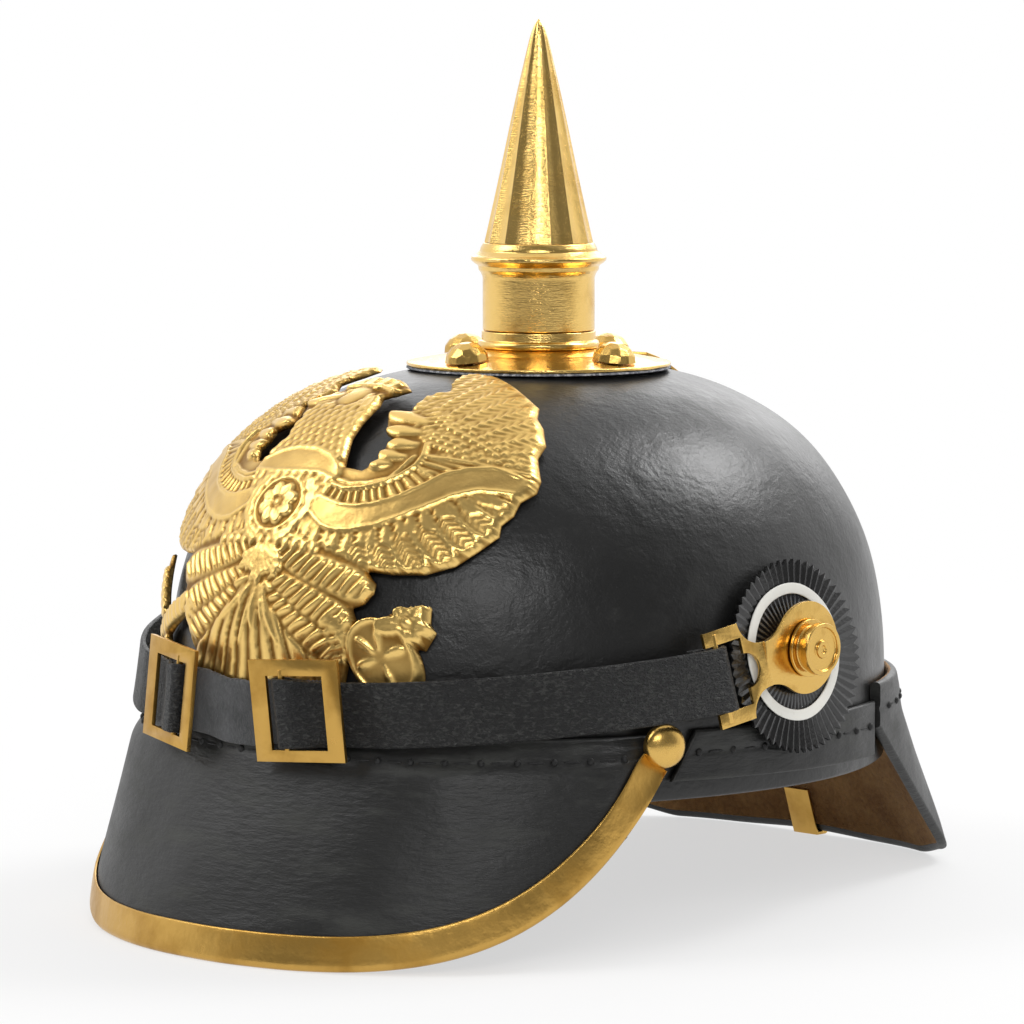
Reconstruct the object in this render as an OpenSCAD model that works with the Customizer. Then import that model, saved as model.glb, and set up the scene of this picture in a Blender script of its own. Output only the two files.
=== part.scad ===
// Spiked leather parade helmet with a brass front plate, cockades and a chin strap.
// Millimetres. +Z is up, the wearer looks along -Y and +X is the wearer's left.
// The origin is on the table, under the middle of the helmet's own box.

/* [Leather shell] */
// Half of the shell's outside width
shell_half_w = 97; // [92:0.5:102]
// Shell's outside reach in front of the spike
shell_front = 113.4; // [108:0.5:119]
// Shell's outside reach behind the spike
shell_rear = 103.7; // [99:0.5:109]
// Height of the shell's lower rim
rim_z = 39.8; // [38:0.2:43]
// Height at which the upright wall turns into the dome
wall_top = 55.7; // [53:0.1:58]
// Height of the dome above that line
dome_h = 97.5; // [92:0.5:103]
// Fullness of the dome, 2 is an ellipse
dome_power = 2.64; // [2.3:0.02:3]
// Thickness of the shell's leather
shell_t = 3; // [2.4:0.1:3.4]
// Share of the dome's plan left open under the spike
vent_share = 0.11; // [0.08:0.005:0.12]

/* [Front visor] */
// Thickness of the visor's leather
visor_t = 2.4; // [2:0.1:2.8]
// Height of the visor's upper edge on the shell
visor_top = 58.5; // [57:0.5:60]
// Height of the fold where the visor leaves the shell
visor_fold = 51.5; // [50:0.5:53]
// Half width of the visor's lower edge at its ends
visor_half_w = 94.7; // [92:0.1:98]
// Distance of the visor's ends in front of the spike
visor_end_y = 46.4; // [44:0.2:50]
// Reach of the visor in front of its ends
visor_reach = 92.6; // [86:0.2:98]
// Height of the visor's edge at its ends
visor_end_z = 51; // [48:0.1:52]
// Height of the visor's tip
visor_tip_z = -2.2; // [-4:0.1:0]
// Rise of the visor's edge towards its ends
visor_rise = 2.23; // [1.9:0.01:2.6]
// Fullness of the visor's plan, 2 is an ellipse
visor_power = 2.1; // [1.9:0.01:2.3]
// Bulge of the visor above its trim
visor_bulge = 1.8; // [0.5:0.1:2.4]
// How far the fold stands off the shell at the sides
visor_out = 7.4; // [5:0.1:8.4]
// Height of the brass trim on the outside
trim_h = 9.5; // [7:0.5:11]
// Height of the brass trim on the inside
trim_in_h = 5; // [4:0.5:7]
// Thickness of the trim's sheet brass
trim_t = 0.8; // [0.6:0.1:1]
// Radius of the domed studs at the trim's ends
trim_stud_r = 6; // [5:0.25:6.5]

/* [Neck guard] */
// Thickness of the neck guard's leather
guard_t = 3; // [2.4:0.1:3.4]
// Height of the neck guard's upper edge
guard_top = 64; // [62:0.5:66]
// Height of the fold where the neck guard leaves the shell
guard_fold = 54; // [52:0.5:56]
// Reach of the neck guard behind the spike
guard_reach = 123; // [119:0.5:128]
// Half width of the neck guard's lower edge
guard_half_w = 93; // [90:0.5:96]
// Squareness of the neck guard's plan, 2 is an ellipse
guard_power = 3.2; // [2.8:0.1:3.6]
// Distance of the neck guard's corners from the middle
guard_corner_x = 65; // [60:0.5:70]
// Rise of the corners above the edge's middle
guard_corner_z = 3.4; // [2:0.2:5]
// Lower edge of the side flaps at the front
flap_low = 45.3; // [43:0.1:47]
// Drop of that edge towards the rear
flap_drop = 1.8; // [0:0.1:2.4]
// Upper edge of the side flaps
flap_top = 59; // [57:0.5:61]
// Thickness of the side flaps
flap_t = 2.2; // [1.8:0.1:2.4]
// Width of the brass spine
spine_w = 9.5; // [8:0.25:11]
// Thickness of the brass spine
spine_t = 1; // [0.8:0.1:1.2]
// Rise of the spine's arched upper end
spine_arch = 2.6; // [0.6:0.2:3]
// Length of the spine's end folded inside the guard
spine_hook = 14; // [10:0.5:18]

/* [Spike] */
// Radius of the brass disc on the dome
disc_r = 38; // [35:0.5:41]
// Thickness of the brass sheet of the disc
disc_t = 1; // [0.8:0.1:1.2]
// Radius of the threaded stub inside the neck
stub_r = 12.9; // [12:0.1:13.2]
// Radius of the spike's neck
neck_r = 16.1; // [15.7:0.1:17]
// Height of the neck above the joint
neck_h = 16; // [13:0.5:19]
// Wall of the neck
neck_t = 1.2; // [1:0.05:1.3]
// Radius of the flange above the neck
flange_r = 19.5; // [18.5:0.25:21]
// Radius of the fluted cone at its base
cone_r = 15.6; // [14.5:0.1:15.8]
// Height of the fluted cone
cone_h = 63.7; // [56:0.5:72]
// Number of flutes round the cone
flute_count = 14; // [10:1:16]
// Turn of the flutes round the cone
flute_turn = -7.5; // [-12:0.5:12]
// Depth of the flutes as a share of the radius
flute_depth = 0.07; // [0.02:0.01:0.1]
// Radius of the circle of studs on the disc
stud_circle_r = 29.5; // [28:0.25:31]
// Radius of a stud's head
stud_r = 6.3; // [5.5:0.1:7]
// Height of a stud's head
stud_h = 5.2; // [4.2:0.2:6.4]

/* [Side fittings] */
// Height of the side posts
post_z = 79.2; // [77.6:0.2:80.4]
// Radius of the cockades
cockade_r = 26.8; // [25:0.2:27.4]
// Number of pleats round a cockade
pleat_count = 60; // [44:4:72]
// Outside radius of the white hoops
hoop_r = 19; // [18:0.2:20.4]
// Width of the white hoops
hoop_w = 3; // [2:0.25:4]
// Radius of the collar that the strap lugs turn on
collar_r = 6.4; // [5.8:0.1:6.8]
// Radial clearance of a lug on its collar
turn_gap = 0.07; // [0.04:0.01:0.1]
// Radius of the knobs' heads
knob_r = 7.2; // [6.5:0.1:8]
// Radius of the threaded shanks of the posts
shank_r = 2.5; // [2:0.1:3]
// Radius of the lugs' eyes
eye_r = 12.8; // [12:0.2:13.6]
// Thickness of the lugs
lug_t = 1.2; // [1:0.1:1.4]

/* [Chin strap] */
// Width of the strap
strap_w = 17.8; // [16.4:0.2:18.6]
// Thickness of the strap
strap_t = 1.6; // [1.3:0.1:1.8]
// Height of the strap's middle line at the front
strap_front_z = 63.2; // [62.8:0.2:64.4]
// Width of a buckle
buckle_w = 28.5; // [26.5:0.5:31]
// Height of a buckle
buckle_h = 28; // [26.5:0.5:31]
// Width of a buckle's side bars
buckle_bar = 5.2; // [4.4:0.2:5.6]
// Thickness of the buckles
buckle_t = 1.2; // [0.8:0.1:1.4]
// Bearing of the left buckle's bar from the front
left_bar_deg = 11; // [10:0.2:13]
// Bearing of the right buckle's bar from the front
right_bar_deg = 12.8; // [11:0.2:14]

/* [Front plate] */
// Thickness of the plate
plate_t = 1.2; // [0.8:0.1:1.4]
// Gap between the plate's wings and the shell
plate_gap = 2.6; // [2:0.1:3]
// Size of the whole emblem, 1 is as drawn
emblem_scale = 1; // [0.94:0.01:1.03]

/* [Liner] */
// Thickness of the sweatband's leather
band_t = 1.6; // [1.2:0.1:2]
// Gap between the shell's inner face and the sweatband
band_gap = 3.4; // [2.5:0.1:4.5]
// Height of the sweatband up to its tongues
band_h = 38; // [32:1:44]
// Length of the tongues above the band
tongue_h = 34; // [28:1:40]
// Number of tongues
tongue_count = 8; // [6:2:10]
// Radius of the draw cord
cord_r = 1.1; // [0.8:0.1:1.4]

/* [Hidden] */
$fn = 48;

// Clearance between pieces that lie on each other
seat = 0.3;
skull_steps = 64;
dome_steps = 12;

// Colours
black_leather = [0.06, 0.06, 0.06];
brown_leather = [0.42, 0.27, 0.15];
brass = [0.83, 0.63, 0.22];
white_paint = [0.93, 0.92, 0.88];
grey_felt = [0.45, 0.45, 0.44];

guard_low = 2.3;
guard_middle_z = guard_low + 0.9;
guard_spine_z = guard_middle_z - seat - spine_t;
// The box runs from the trim to the spine, and its middle is the origin
front_reach = visor_end_y + visor_reach;
rear_reach = guard_reach + seat + spine_t;
middle_y = (front_reach - rear_reach) / 2;
// On a table the helmet leans back a little, on its visor and its neck guard
lean_back = atan((guard_spine_z - visor_tip_z) / (front_reach + guard_reach));
table_drop = -visor_tip_z - front_reach * sin(lean_back);

// Bearings are 0 at the front and 90 at the wearer's left
function half_len(b) = cos(b) > 0 ? shell_front : shell_rear;
function mix(a, b, t) = a + (b - a) * t;
function ease(t) = let (c = min(max(t, 0), 1)) c * c * (3 - 2 * c);
function unit(v) = v / norm(v);

// Point of the shell at bearing b and dome angle th, moved off outwards
function dome_at(b, th, off) =
    let (k = pow(cos(th), 2 / dome_power), h = pow(sin(th), 2 / dome_power))
    [(shell_half_w + off) * k * sin(b), -(half_len(b) + off) * k * cos(b), wall_top + (dome_h + off) * h];

// Share of the plan that is left at height z
function plan_share(z, off) = z <= wall_top ? 1 :
    pow(1 - pow(min((z - wall_top) / (dome_h + off), 1), dome_power), 1 / dome_power);

// Point of the wall or dome at bearing b and height z
function wall_at(b, z, off) =
    let (k = plan_share(z, off))
    [(shell_half_w + off) * k * sin(b), -(half_len(b) + off) * k * cos(b), z];

// Height of the dome above a point of its front middle line
function crown_z(r) = wall_top + dome_h * pow(1 - pow(r / shell_front, dome_power), 1 / dome_power);

// Outward normal of the dome
function dome_normal(b, th) =
    let (k = pow(cos(th), 2 / dome_power), h = pow(sin(th), 2 / dome_power))
    unit([pow(k, dome_power - 1) * sin(b) / shell_half_w,
        -pow(k, dome_power - 1) * cos(b) / half_len(b),
        pow(h, dome_power - 1) / dome_h]);

// Turn about Z that faces a flat piece outwards at bearing b
function face_turn(b, off) = atan2((half_len(b) + off) * sin(b), (shell_half_w + off) * cos(b));
function plan_normal(b, off) = let (a = face_turn(b, off)) [sin(a), -cos(a), 0];
function plan_tangent(b, off) = let (a = face_turn(b, off)) [cos(a), sin(a), 0];

// Two triangles for a four-sided face that runs anticlockwise from outside
function two_faces(a, b, c, d) = [[a, c, b], [a, d, c]];

// Closed solid between two grids of points, rows round the piece and columns upwards
module sheet(outer, inner, wrap = false) {
    n = len(outer);
    k = len(outer[0]);
    function o(i, j) = (i % n) * k + j;
    function q(i, j) = n * k + (i % n) * k + j;
    last = wrap ? n - 1 : n - 2;
    long_faces = [for (i = [0:last]) each concat(
        [for (j = [0:k - 2]) each two_faces(o(i, j), o(i + 1, j), o(i + 1, j + 1), o(i, j + 1))],
        [for (j = [0:k - 2]) each two_faces(q(i, j), q(i, j + 1), q(i + 1, j + 1), q(i + 1, j))],
        two_faces(o(i, 0), q(i, 0), q(i + 1, 0), o(i + 1, 0)),
        two_faces(o(i, k - 1), o(i + 1, k - 1), q(i + 1, k - 1), q(i, k - 1)))];
    end_faces = wrap ? [] : [for (j = [0:k - 2]) each concat(
        two_faces(o(0, j), o(0, j + 1), q(0, j + 1), q(0, j)),
        two_faces(o(n - 1, j), q(n - 1, j), q(n - 1, j + 1), o(n - 1, j + 1)))];
    polyhedron([each [for (r = outer) each r], each [for (r = inner) each r]],
        concat(long_faces, end_faces), convexity = 8);
}

module seated() {
    translate([0, middle_y, table_drop]) rotate([-lean_back, 0, 0]) children();
}

// Cylinder from point p along direction v
module rod(p, v, r, h) {
    translate(p) rotate([0, acos(v[2] / norm(v)), atan2(v[1], v[0])]) cylinder(r = r, h = h);
}

module copy_to_right() {
    children();
    mirror([1, 0, 0]) children();
}

// Shell

vent_deg = acos(pow(vent_share, dome_power / 2));
function skull_column(b, off) = concat(
    [[(shell_half_w + off) * sin(b), -(half_len(b) + off) * cos(b), rim_z]],
    [for (j = [0:dome_steps]) dome_at(b, vent_deg * pow(j / dome_steps, 1.15), off)]);

module skull_blank() {
    step = 360 / skull_steps;
    sheet([for (i = [0:skull_steps - 1]) skull_column(i * step, 0)],
        [for (i = [0:skull_steps - 1]) skull_column(i * step, -shell_t)], true);
}

post_hole_gap = 0.3;
plate_post_r = 1.5;
stud_shank_r = 1.6;

module skull() {
    color(black_leather) seated() difference() {
        skull_blank();
        copy_to_right() translate([shell_half_w - 12, post_y, post_z]) rotate([0, 90, 0])
            cylinder(r = shank_r + post_hole_gap, h = 20);
        copy_to_right() rod(plate_post_at - 12 * plate_post_dir, plate_post_dir,
            plate_post_r + post_hole_gap, 20);
        for (a = [0:90:270]) rotate([0, 0, a]) translate([stud_circle_r, 0, crown_z(stud_circle_r) - 12])
            cylinder(r = stud_shank_r + post_hole_gap, h = 20);
    }
}

// Front visor

visor_end_deg = acos(visor_end_y / shell_front);
visor_steps = 36;
// The trim's lower outside edge, turn 0 at an end and 90 at the tip
function edge_at(a, off, lift) =
    let (c = pow(abs(cos(a)), 2 / visor_power) * sign(cos(a)), s = pow(sin(a), 2 / visor_power))
    [(visor_half_w + off) * c, -visor_end_y - (visor_reach + off) * s,
        visor_tip_z + (visor_end_z - visor_tip_z) * pow(1 - s, visor_rise) + lift];

// How far the leather lies inside the trim
visor_inset = trim_t + seat;
visor_top_deg = visor_end_deg + 2.6;
function visor_bearing(a) = visor_top_deg * (1 - a / 90);
function fold_out(b) =
    mix(2.3, visor_out, ease((abs(b) - 12) / 26)) * ease((visor_top_deg - 1 - abs(b)) / 12);
function visor_shape(share) = share < 0.2 ? share / 0.2 : (1 - share) / 0.8;
// Point of the visor's outer face, share 0 at its lower edge and 1 at its fold
function visor_at(a, share, off) =
    let (b = visor_bearing(a), bulge = visor_bulge * sin(a) * visor_shape(share),
        low = edge_at(a, off - visor_inset + bulge, visor_inset),
        reach = seat + visor_t + fold_out(b) + off + bulge)
    mix(low, [(shell_half_w + reach) * sin(b), -(half_len(b) + reach) * cos(b), visor_fold], share);
function visor_column(a, off) = concat(
    [for (t = [0, 0.2, 0.45, 0.72, 1]) visor_at(a, t, off)],
    [wall_at(visor_bearing(a), mix(visor_fold, visor_top, 0.5),
        seat + visor_t + 0.45 * fold_out(visor_bearing(a)) + off)],
    [wall_at(visor_bearing(a), visor_top, seat + visor_t + off)]);

module front_visor() {
    color(black_leather) seated() sheet(
        [for (i = [0:visor_steps]) visor_column(180 - 180 * i / visor_steps, 0)],
        [for (i = [0:visor_steps]) visor_column(180 - 180 * i / visor_steps, -visor_t)]);
}

lining_t = 1.2;
lining_gap = 0.4;
lining_low = 0.06;
lining_high = 0.8;
lining_drop = 4.5;
// The lining follows the visor's inner face and hangs a little lower at its sides
function lining_column(a, off) =
    let (side = pow(abs(cos(a)), 1.5), base = -visor_t - trim_t - seat - lining_gap)
    [for (j = [0:3]) visor_at(a, mix(lining_low, lining_high, j / 3), base + off)
        + [0, lining_drop * side * (1 - j / 3), -0.4 * lining_drop * side * (1 - j / 3)]];

module visor_lining() {
    color(black_leather) seated() sheet(
        [for (i = [2:visor_steps - 2]) lining_column(180 - 180 * i / visor_steps, 0)],
        [for (i = [2:visor_steps - 2]) lining_column(180 - 180 * i / visor_steps, -lining_t)]);
}

// Section of the trim as a strip folded round the visor's edge
function slope_share(a, h) = min(h / norm(visor_at(a, 1, 0) - visor_at(a, 0, 0)), 0.9);
function trim_outer(a) = [
    visor_at(a, slope_share(a, trim_h), visor_inset),
    visor_at(a, slope_share(a, trim_h) / 2, visor_inset),
    edge_at(a, 0, 0.4 * trim_t),
    edge_at(a, -0.4 * trim_t, 0),
    edge_at(a, -2 * visor_inset - visor_t + 0.4 * trim_t, 0),
    edge_at(a, -2 * visor_inset - visor_t, 0.4 * trim_t),
    visor_at(a, slope_share(a, trim_in_h), -visor_t - visor_inset)];
function trim_inner(a) = [
    visor_at(a, slope_share(a, trim_h), seat),
    visor_at(a, slope_share(a, trim_h) / 2, seat),
    edge_at(a, -trim_t, 1.2 * trim_t),
    edge_at(a, -trim_t - 0.05, trim_t),
    edge_at(a, -visor_inset - visor_t - seat + 0.05, trim_t),
    edge_at(a, -visor_inset - visor_t - seat, 1.2 * trim_t),
    visor_at(a, slope_share(a, trim_in_h), -visor_t - seat)];
function backwards(list) = [for (i = [len(list) - 1:-1:0]) list[i]];

trim_steps = visor_steps;
module visor_trim() {
    color(brass) seated() sheet(
        [for (i = [0:trim_steps]) backwards(trim_outer(180 - 180 * i / trim_steps))],
        [for (i = [0:trim_steps]) backwards(trim_inner(180 - 180 * i / trim_steps))]);
}

trim_stud_z = 55.9;
trim_stud_deg = visor_end_deg - 0.4;
trim_stud_rise = 3.4;
trim_stud_foot = 1;
trim_stud_off = seat + visor_t + visor_inset + 2.5;
// Domed head on a short shank that rests on the trim
module domed_head(r, rise, foot) {
    rotate_extrude() polygon(concat([[0, -foot], [r - 1.2, -foot], [r - 1.2, 0], [r, 0]],
        [for (t = [15:15:75]) [r * cos(t), rise * sin(t)]], [[0, rise]]));
}
module trim_stud() {
    base = wall_at(trim_stud_deg, trim_stud_z, 0);
    translate(base) rotate([0, 0, face_turn(trim_stud_deg, 0)]) rotate([90, 0, 0])
        translate([0, 0, trim_stud_off]) domed_head(trim_stud_r, trim_stud_rise, trim_stud_foot);
}
module trim_studs() {
    color(brass) seated() copy_to_right() trim_stud();
}

// Neck guard

guard_end_deg = acos(-0.42);
guard_steps = 44;
guard_bulge = 1.6;
guard_side_z = guard_fold - 3;
// Share of the half width at which the straight lower edge ends at a corner
corner_share = 0.62;

function guard_edge_y(x, off) =
    (guard_reach + off) * pow(1 - pow(abs(x) / (guard_half_w + off), guard_power), 1 / guard_power);
function guard_low_z(x) =
    mix(guard_middle_z, guard_low, ease(abs(x) / 30))
    + guard_corner_z * ease((abs(x) - 48) / (guard_corner_x - 48));
function guard_bearing(s) = mix(180, guard_end_deg, abs(s));
// Lower edge: s runs from -1 at the right end to 1 at the left end
function guard_edge(s, off) =
    let (d = abs(s), sg = s < 0 ? -1 : 1)
    d <= corner_share
        ? let (x = guard_corner_x * d / corner_share) [sg * x, guard_edge_y(x, off), guard_low_z(x)]
        : let (t = (d - corner_share) / (1 - corner_share),
            p = [guard_corner_x, guard_edge_y(guard_corner_x, off), guard_low + guard_corner_z],
            e = wall_at(guard_end_deg, guard_side_z, seat + guard_t + off),
            m = mix(p, e, t))
            [sg * m[0], m[1], m[2]];
function guard_wall(s, z, off) =
    let (m = wall_at(guard_bearing(s), z, off)) [s < 0 ? -m[0] : m[0], m[1], z];
function guard_column(s, off) =
    let (flat = 1 - pow(abs(s), 6), low = guard_edge(s, off),
        high = guard_wall(s, guard_fold, seat + guard_t + guard_bulge * flat + off))
    concat([for (j = [0:4]) mix(low, high, j / 4)],
        [guard_wall(s, mix(guard_fold, guard_top, 0.5), seat + guard_t + guard_bulge * flat + off),
        guard_wall(s, guard_top, seat + guard_t + off)]);

module neck_guard() {
    color(brown_leather) seated() sheet(
        [for (i = [0:guard_steps]) guard_column(1 - 2 * i / guard_steps, 0)],
        [for (i = [0:guard_steps]) guard_column(1 - 2 * i / guard_steps, -guard_t)]);
}

flap_front_deg = 71.5;
flap_lean = 4;
flap_steps = 14;
// Side flap from behind the trim's stud to the neck guard
function flap_column(t, off) =
    let (b = mix(flap_front_deg, guard_end_deg - 1, t), lean = flap_lean * (1 - t),
        low = flap_low - flap_drop * t)
    [wall_at(b - lean, low, seat + flap_t + off),
        wall_at(b - lean / 2, mix(low, flap_top, 0.5), seat + flap_t + off),
        wall_at(b, flap_top, seat + flap_t + off)];
module side_flap() {
    sheet([for (i = [0:flap_steps]) flap_column(i / flap_steps, 0)],
        [for (i = [0:flap_steps]) flap_column(i / flap_steps, -flap_t)]);
}
module side_flap_left() {
    color(black_leather) seated() side_flap();
}
module side_flap_right() {
    color(black_leather) seated() mirror([1, 0, 0]) side_flap();
}

// Brass spine over the back, as a strip drawn in the YZ plane
spine_start_y = disc_r + 1.6;
spine_start_deg = acos(pow(spine_start_y / shell_rear, dome_power / 2));
spine_wall_deg = asin(pow((guard_top + 2 - wall_top) / dome_h, dome_power / 2));
function spine_line(off) = concat(
    [for (i = [0:24]) let (rise = spine_arch * ease((4 - i) / 4),
        p = dome_at(180, mix(spine_start_deg, spine_wall_deg, i / 24), off + rise)) [p[1], p[2]]],
    [[shell_rear + guard_t + seat + off, guard_top + 0.2],
    [shell_rear + guard_t + guard_bulge + seat + off, mix(guard_fold, guard_top, 0.5)],
    [shell_rear + guard_t + guard_bulge + seat + off, guard_fold],
    [guard_reach + off, guard_middle_z]]);
hook_dir = unit([shell_rear + guard_bulge - guard_reach, guard_fold - guard_middle_z]);
hook_in = [guard_reach - guard_t - seat, guard_middle_z];
module spine_blank() {
    low = guard_middle_z - seat;
    outside = spine_line(seat + spine_t);
    inside = spine_line(seat);
    rotate([90, 0, 90]) linear_extrude(height = spine_w, center = true) polygon(concat(
        outside,
        [[guard_reach + seat + spine_t - 0.4, low - spine_t + 0.3],
        [guard_reach + seat, low - spine_t],
        [hook_in[0] - spine_t + 0.4, low - spine_t],
        hook_in + [-spine_t, -seat],
        hook_in + [-spine_t, 0] + spine_hook * hook_dir,
        hook_in + spine_hook * hook_dir,
        hook_in + [0, -seat],
        [guard_reach + seat, low]],
        backwards(inside)));
}
spine_screw_r = 2.5;
spine_screw_h = 1;
spine_screw_z = 30;
spine_screw_deg = spine_start_deg - 16;
guard_fold_y = shell_rear + guard_t + guard_bulge + seat;
guard_slope = atan((guard_reach - guard_fold_y) / (guard_fold - guard_middle_z));
function guard_y_at(z) = mix(guard_reach, guard_fold_y,
    (z - guard_middle_z) / (guard_fold - guard_middle_z));
module rear_spine() {
    color(brass) seated() spine_blank();
}
// Small round-headed screws that hold the spine
module spine_screws() {
    color(brass) seated() {
        p = dome_at(180, spine_screw_deg, 0);
        v = dome_normal(180, spine_screw_deg);
        rod(p + (seat + spine_t + 0.1) * v, v, spine_screw_r, spine_screw_h);
        translate([0, guard_y_at(spine_screw_z), spine_screw_z]) rotate([guard_slope - 90, 0, 0])
            translate([0, 0, seat + spine_t + 0.1]) cylinder(r = spine_screw_r, h = spine_screw_h);
    }
}

// Thread of the seams: short stitches that lie in a row on the leather
module stitch(p, turn, length) {
    translate(p) rotate([0, 0, turn]) cube([length, 0.7, 0.7], center = true);
}
visor_stitches = 24;
visor_thread_off = 1.1;
stitch_len = 5.6;
module visor_thread() {
    span = visor_end_deg - 7;
    color([0.03, 0.03, 0.03]) seated() for (i = [0:visor_stitches]) {
        b = mix(-span, span, i / visor_stitches);
        off = seat + visor_t + 0.82 * fold_out(b) + visor_thread_off;
        p = wall_at(b, mix(visor_fold, visor_top, 0.2), off);
        stitch(p, face_turn(b, off), stitch_len);
    }
}
guard_stitches = 22;
module guard_thread() {
    span = 180 - guard_end_deg - 5;
    // No stitch lies under the spine
    color([0.03, 0.03, 0.03]) seated() for (i = [0:guard_stitches]) if (i != guard_stitches / 2) {
        b = 180 + mix(-span, span, (i + 0.5) / (guard_stitches + 1));
        off = seat + guard_t + guard_bulge + 0.6;
        p = wall_at(b, mix(guard_fold, guard_top, 0.25), off);
        stitch(p, face_turn(b, off), stitch_len);
    }
}
flap_stitches = 7;
module flap_thread() {
    color([0.03, 0.03, 0.03]) seated() copy_to_right() for (i = [0:flap_stitches]) {
        b = mix(flap_front_deg + 2, guard_end_deg - 4, i / flap_stitches);
        off = seat + flap_t + 0.5;
        stitch(wall_at(b, 0.5 * (flap_low + flap_top) + 0.8, off), face_turn(b, off), stitch_len);
    }
}

// Liner: the band is sewn along the shell's rim and leans in above it

band_low = rim_z + 2.6;
band_steps = tongue_count * 8;
tongue_lean = 22;
band_lean = 5;
function tongue_rise(i) = pow(abs(sin(180 * tongue_count * i / band_steps)), 0.6);
function band_column(i, off) =
    let (b = 360 * i / band_steps, top = tongue_h * max(tongue_rise(i), 0.02))
    [for (j = [0:5]) let (z = band_low + (j <= 2 ? band_h * j / 2 : band_h + 0.5 + top * (j - 2) / 3),
        in_by = shell_t + (j == 0 ? seat : band_gap) - off
            + tongue_lean * pow(max(z - band_low - band_h, 0) / tongue_h, 1.3)
            + band_lean * (z - band_low) / band_h)
        [(shell_half_w - in_by) * sin(b), -(half_len(b) - in_by) * cos(b), z]];
module sweatband() {
    color(brown_leather) seated() sheet(
        [for (i = [0:band_steps - 1]) band_column(i, 0)],
        [for (i = [0:band_steps - 1]) band_column(i, -band_t)], true);
}

cord_share = 0.62;
cord_z = band_low + band_h + cord_share * tongue_h;
cord_in = shell_t + band_gap + band_t + band_lean + cord_share * tongue_lean + cord_r + 1.6;
cord_steps = 48;
cord_sides = 8;
module draw_cord() {
    function ring(b) = [for (j = [0:cord_sides - 1]) let (a = 360 * j / cord_sides)
        [(shell_half_w - cord_in + cord_r * cos(a)) * sin(b),
            -(half_len(b) - cord_in + cord_r * cos(a)) * cos(b), cord_z + cord_r * sin(a)]];
    rings = [for (i = [0:cord_steps - 1]) ring(360 * i / cord_steps)];
    faces = [for (i = [0:cord_steps - 1], j = [0:cord_sides - 1])
        let (ni = (i + 1) % cord_steps, nj = (j + 1) % cord_sides)
        each two_faces(i * cord_sides + j, ni * cord_sides + j, ni * cord_sides + nj, i * cord_sides + nj)];
    color([0.75, 0.7, 0.6]) seated() polyhedron([for (r = rings) each r], faces, convexity = 6);
}

// Spike

gasket_t = 0.7;
gasket_in_r = 30;
gasket_out_r = disc_r + 0.6;
disc_low = crown_z(disc_r) + 0.2 + gasket_t + 0.1;
disc_in = crown_z(gasket_in_r) + 0.2 + gasket_t + 0.3;
// The joint lies this far above the crown
joint_rise = 8.8;
joint_z = wall_top + dome_h + joint_rise;
band_r = neck_r + 0.3;
band_rise = 2.6;
bead_r = 1.2;
step_z = joint_z - band_rise - 2 * bead_r;
stub_t = 1.2;
stub_rise = 10;

module base_gasket() {
    color(grey_felt) seated() difference() {
        rotate_extrude() polygon([
            [gasket_in_r, crown_z(gasket_in_r) + 0.2], [gasket_out_r, crown_z(gasket_out_r) + 0.2],
            [gasket_out_r, crown_z(gasket_out_r) + 0.2 + gasket_t],
            [gasket_in_r, crown_z(gasket_in_r) + 0.2 + gasket_t]]);
        for (a = [0:90:270]) rotate([0, 0, a]) translate([stud_circle_r, 0, disc_low - 5])
            cylinder(r = stud_shank_r + seat, h = 20);
    }
}

module spike_base() {
    top = step_z;
    color(brass) seated() difference() {
        rotate_extrude() {
            polygon([[disc_r, disc_low], [disc_r, disc_low + disc_t], [gasket_in_r, disc_in + disc_t + 0.2],
                [22, disc_in + disc_t + 1.2], [band_r + 1, top], [band_r, top], [band_r, joint_z],
                [stub_r, joint_z], [stub_r, joint_z + stub_rise], [stub_r - stub_t, joint_z + stub_rise],
                [stub_r - stub_t, joint_z - disc_t - 1], [band_r - disc_t, joint_z - disc_t - 1],
                [band_r - disc_t, top - disc_t],
                [22, disc_in + 0.2], [gasket_in_r, disc_in - 0.1]]);
            translate([band_r, joint_z - band_rise - bead_r]) circle(r = bead_r);
        }
        for (a = [0:90:270]) rotate([0, 0, a]) translate([stud_circle_r, 0, disc_low - 5])
            cylinder(r = stud_shank_r + 0.1, h = 20);
    }
}

stud_seat_z = disc_in + disc_t + 0.55;
stud_lean = 8;
module dome_studs() {
    color(brass) seated() for (a = [0:90:270]) rotate([0, 0, a]) translate([stud_circle_r, 0, 0]) {
        translate([0, 0, stud_seat_z]) rotate([0, stud_lean, 0]) domed_head(stud_r, stud_h, 0);
        translate([0, 0, stud_nut_z - 1]) cylinder(r = stud_shank_r, h = stud_seat_z + 1.5 - stud_nut_z);
    }
}
stud_nut_t = 2.4;
stud_nut_drop = 1.6;
stud_nut_z = crown_z(stud_circle_r) - shell_t - stud_nut_drop - stud_nut_t;
module stud_nuts() {
    color(brass) seated() for (a = [0:90:270]) rotate([0, 0, a])
        translate([stud_circle_r, 0, stud_nut_z]) difference() {
            cylinder(r = 3.6, h = stud_nut_t, $fn = 6);
            translate([0, 0, -1]) cylinder(r = stud_shank_r + 0.05, h = stud_nut_t + 2, $fn = 48);
        }
}

collar_gap = 0.45;
collar_low = joint_z + 0.4;
collar_h = 8.2;
neck_in_r = neck_r - neck_t;
module spike_collar() {
    color(brass) seated() translate([0, 0, collar_low]) difference() {
        cylinder(r = neck_in_r - 0.06, h = collar_h);
        translate([0, 0, -1]) cylinder(r = stub_r + collar_gap, h = collar_h + 2);
    }
}

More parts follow.
